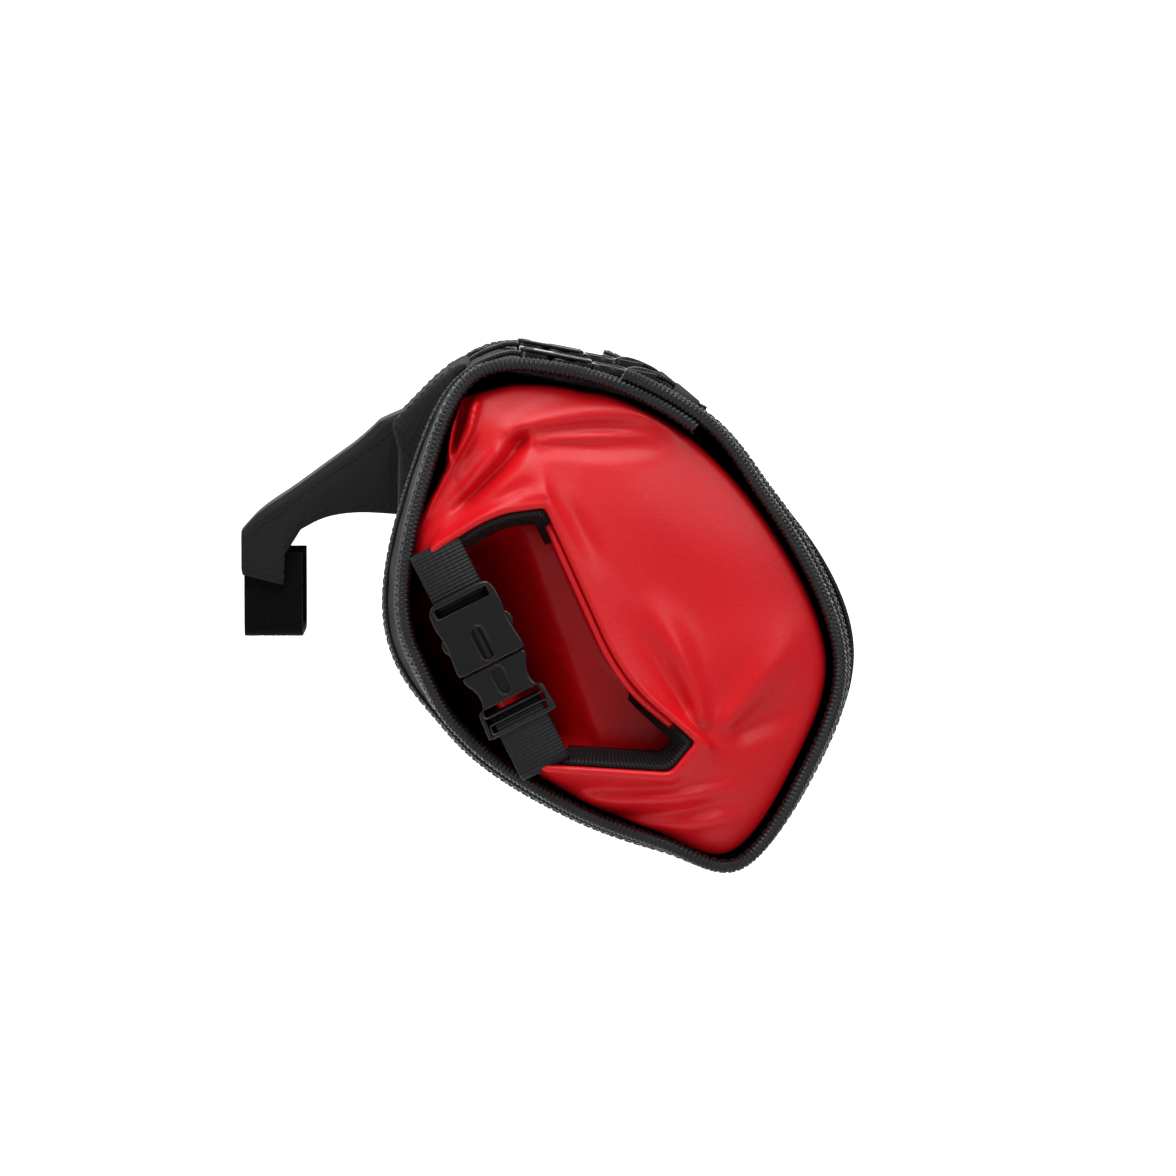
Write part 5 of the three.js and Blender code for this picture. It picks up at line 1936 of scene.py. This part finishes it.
    def band(self) -> Piece:
        """Hook-and-loop band under the stem, whose ends go up inside both flaps."""
        half = self.width / 2 - self.wall - self.section.gap - self.strap_half
        low = -self.strap_drop + self.strap_half
        side = [(-half, 12.0), (-half, 0.0), (-half, -12.0), (-half + 1.0, low + 0.5), (-half + 5.0, low)]
        path = rounded_path([*side, (0.0, low), *((-y, z) for y, z in reversed(side))], 0.7)
        out = unit(beside(np.gradient(path, axis=0)))
        if (out * path).sum() < 0:
            out = -out
        first = -self.reach + 1.2
        xs = np.linspace(first, first + self.strap_width - 0.4, 40)
        fuzz = np.random.default_rng(5).uniform(-self.strap_fuzz, self.strap_fuzz, (len(xs), len(path)))
        fuzz[:, [0, -1]] = 0
        fuzz[[0, -1], :] = 0
        x = np.broadcast_to(xs[:, None, None], (len(xs), len(path), 1))
        outer, inner = (
            np.concatenate([x, path[None] + out[None] * (depth + fuzz[..., None])], -1)
            for depth in (self.strap_half, -self.strap_half)
        )
        piece = sheet_mesh("stem_band", outer, inner)
        return attach(piece, "hook_loop", self.wardrobe.get(HOOK_LOOP), "stem_strap")

    def pad(self) -> list[Piece]:
        """Padded back, swelled from its solid by a pressure simulation, with a sewn border."""
        first, last = self.pad_turns
        ys = np.linspace(-self.pad_half, self.pad_half, 96)
        turn, y = np.meshgrid(np.linspace(first, last, 56), ys)
        seat = self.section.face(turn, y) - self.section.pole
        low = np.linalg.norm(seat, axis=-1) + self.section.gap + 0.1
        rows = np.array([self.section.place(x, z) for x, z in self.pad_face])
        fine = along_path(rows, np.linspace(0, path_length(rows), 300))
        turns, reaches, _ = self.section.polar(np.column_stack([fine, np.zeros(len(fine))]))
        full = np.interp(turn, turns, reaches) - low
        around = np.minimum(turn - first, last - turn) * np.pi / 180 * low
        from_edge = np.minimum(self.pad_half - np.abs(y), around)
        edge = np.sqrt(1 - (1 - np.clip(from_edge / self.pad_round, 0, 1)) ** 2)
        high = low + self.pad_thin + np.maximum(0, full - self.pad_thin) * edge
        outer, inner = (in_space(self.section.point(turn, reach), y) for reach in (high, low))
        uv = np.stack([np.radians(turn) * low, y], -1) * MM
        cushion = sheet_mesh("back_pad_cushion", outer, inner, uv)
        rest = np.array([v.co for v in cushion.data.vertices])
        self.inflate(cushion, rest)
        subdivide = cushion.modifiers.new("finer", "SUBSURF")
        subdivide.levels = 1
        subdivide.render_levels = 1
        self.apply(cushion)
        cushion.data.polygons.foreach_set("use_smooth", np.ones(len(cushion.data.polygons), bool))
        attach(cushion, "black_nylon", self.wardrobe.get(BLACK_NYLON), "back_pad")
        return [cushion, self.pad_seam(cushion)]

    def pad_seam(self, cushion: Piece) -> Piece:
        """Stitches round the pad, sewn through it a little inside its edge.

        Args:
            cushion: The pad.

        Returns:
            The stitches.
        """
        (low, high), side = self.pad_seam_turns, self.pad_seam_y
        corners = np.array([(low, -side), (high, -side), (high, side), (low, side), (low, -side)])
        fine = along_path(corners, np.linspace(0, path_length(corners), 900))
        turn = np.radians(fine[:, 0])
        toward = -np.stack([np.cos(turn), np.zeros_like(turn), np.sin(turn)], -1)
        start = in_space(np.tile(self.section.pole, (len(fine), 1)), fine[:, 1])
        hits = []
        for origin, ray in zip((start - toward * 200.0) * MM, toward):
            found, place, normal, _ = cushion.ray_cast(Vector(origin), Vector(ray))
            if found:
                hits.append((*(np.array(place) / MM), *normal))
        rows = np.array(hits)
        places = np.arange(0, path_length(rows[:, :3]), 3.2)
        run = run_lengths(rows[:, :3])
        sewn = np.stack([np.interp(places, run, column) for column in rows.T], -1)
        row = stitches("pad_stitches", sewn[:, :3], sewn[:, 3:], 2.2, 0.6)
        return attach(row, "black_nylon", self.wardrobe.get(THREAD))

    def apply(self, piece: Piece) -> None:
        """Replaces a piece's mesh by what its modifiers make of it."""
        graph = bpy.context.evaluated_depsgraph_get()
        made = bpy.data.meshes.new_from_object(piece.evaluated_get(graph))
        piece.modifiers.clear()
        piece.data = made

    def inflate(self, piece: Piece, rest: np.ndarray) -> None:
        """Swells a piece with inner pressure, no point moving further than pad_give, in metres.

        Args:
            piece: The piece.
            rest: Its points before.
        """
        cloth = piece.modifiers.new("pressure", "CLOTH")
        cloth.settings.quality = 5
        cloth.settings.mass = 0.3
        cloth.settings.use_pressure = True
        cloth.settings.uniform_pressure_force = 4.0
        cloth.settings.effector_weights.gravity = 0.0
        cloth.point_cache.frame_start = 1
        cloth.point_cache.frame_end = 20
        scene = bpy.context.scene
        for step in range(1, 21):
            scene.frame_set(step)
        graph = bpy.context.evaluated_depsgraph_get()
        swelled = piece.evaluated_get(graph).to_mesh()
        points = np.array([v.co for v in swelled.vertices])
        piece.modifiers.clear()
        scene.frame_set(1)
        move = points - rest
        length = np.linalg.norm(move, axis=1, keepdims=True)
        move *= np.minimum(1.0, self.pad_give / np.maximum(length, 1e-9))
        middle = np.array([self.section.pole[0], 0.0, self.section.pole[1]]) * MM
        outward = rest - middle
        outward[:, 1] = 0
        outward = unit(outward)
        inward = np.minimum(0.0, (move * outward).sum(1))[:, None] * outward
        piece.data.vertices.foreach_set("co", (rest + move - inward).astype(np.float32).ravel())
        piece.data.update()


# Studio


@dataclass
class Studio:
    """Camera, floor and soft light."""

    camera_at: tuple[float, float, float] = (0.0558, -1.890, 0.1195)
    aim: tuple[float, float, float] = (0.0930, 5.250, -0.338)
    lens: float = 160.7
    sensor: float = 36.0
    floor_z: float = -0.55
    floor_half: float = 6.0
    floor_from: float = -3.0
    bend_from: float = 2.0
    bend_radius: float = 1.2
    backdrop_top: float = 6.0
    surround: float = 0.34
    # Name, place, size in metres, power in watts and the point that it faces
    lamps: tuple = (
        ("overhead", (0.0, -0.55, 1.3), 1.0, 17.5, (0.09, -0.1, 0.0)),
        ("front", (0.9, -1.5, 0.75), 0.7, 5.5, (0.09, -0.1, 0.0)),
        ("side", (-1.2, -0.9, 0.5), 0.6, 2.8, (0.09, -0.1, 0.0)),
        ("backdrop", (0.3, 1.2, 0.7), 3.0, 80.0, (0.3, 3.2, 0.0)),
    )

    def build(self) -> None:
        """Makes the camera first, then the floor and the lights."""
        self.camera()
        bpy.context.scene.view_settings.view_transform = "Standard"
        self.floor()
        self.lights()

    def camera(self) -> None:
        """Camera at the photograph's place and angle."""
        data = bpy.data.cameras.new("camera")
        data.lens = self.lens
        data.sensor_width = self.sensor
        camera = new_object("camera", data)
        camera.location = self.camera_at
        camera.rotation_euler = Vector(self.aim).to_track_quat("-Z", "Y").to_euler()
        bpy.context.scene.camera = camera

    def floor(self) -> None:
        """Pale floor that curves up into a backdrop."""
        start, radius = self.bend_from, self.bend_radius
        rows = [(self.floor_from, self.floor_z)]
        for a in np.linspace(0, np.pi / 2, 24):
            rows.append((start + radius * np.sin(a), self.floor_z + radius - radius * np.cos(a)))
        rows.append((start + radius, self.backdrop_top))
        points = np.array([[(x, y, z) for x in (-self.floor_half, self.floor_half)] for y, z in rows]) / MM
        faces = grid_quads(len(rows), 2).tolist()
        floor = make_mesh("floor", points.reshape(-1, 3), faces)
        material = bpy.data.materials.new("matte paint, rolled, white")
        material.use_nodes = True
        shader = material.node_tree.nodes["Principled BSDF"]
        shader.inputs["Base Color"].default_value = linear("F7F7F7")
        shader.inputs["Roughness"].default_value = 0.9
        floor.data.materials.append(material)

    def lights(self) -> None:
        """Large soft lights over and beside the bag, and an even white surround."""
        world = bpy.data.worlds.new("studio")
        bpy.context.scene.world = world
        world.use_nodes = True
        background = world.node_tree.nodes["Background"]
        background.inputs["Color"].default_value = (1, 1, 1, 1)
        background.inputs["Strength"].default_value = self.surround
        for name, place, size, power, target in self.lamps:
            data = bpy.data.lights.new(name, "AREA")
            data.shape = "SQUARE"
            data.size = size
            data.energy = power
            lamp = new_object(name, data)
            lamp.location = place
            lamp.rotation_euler = (Vector(target) - Vector(place)).to_track_quat("-Z", "Y").to_euler()


def main() -> None:
    """Builds the bag's parts in order and reports each piece."""
    logging.basicConfig(level=logging.INFO, format="%(message)s")
    Studio().build()
    section = Section()
    wardrobe = Wardrobe()
    for maker in (DryBag, Wrap, Hardware, Saddle):
        for piece in maker(section, wardrobe).build():
            log.info("%s: %s, %d faces", maker.__name__, piece.name, len(piece.data.polygons))
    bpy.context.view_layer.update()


if __name__ == "__main__":
    main()
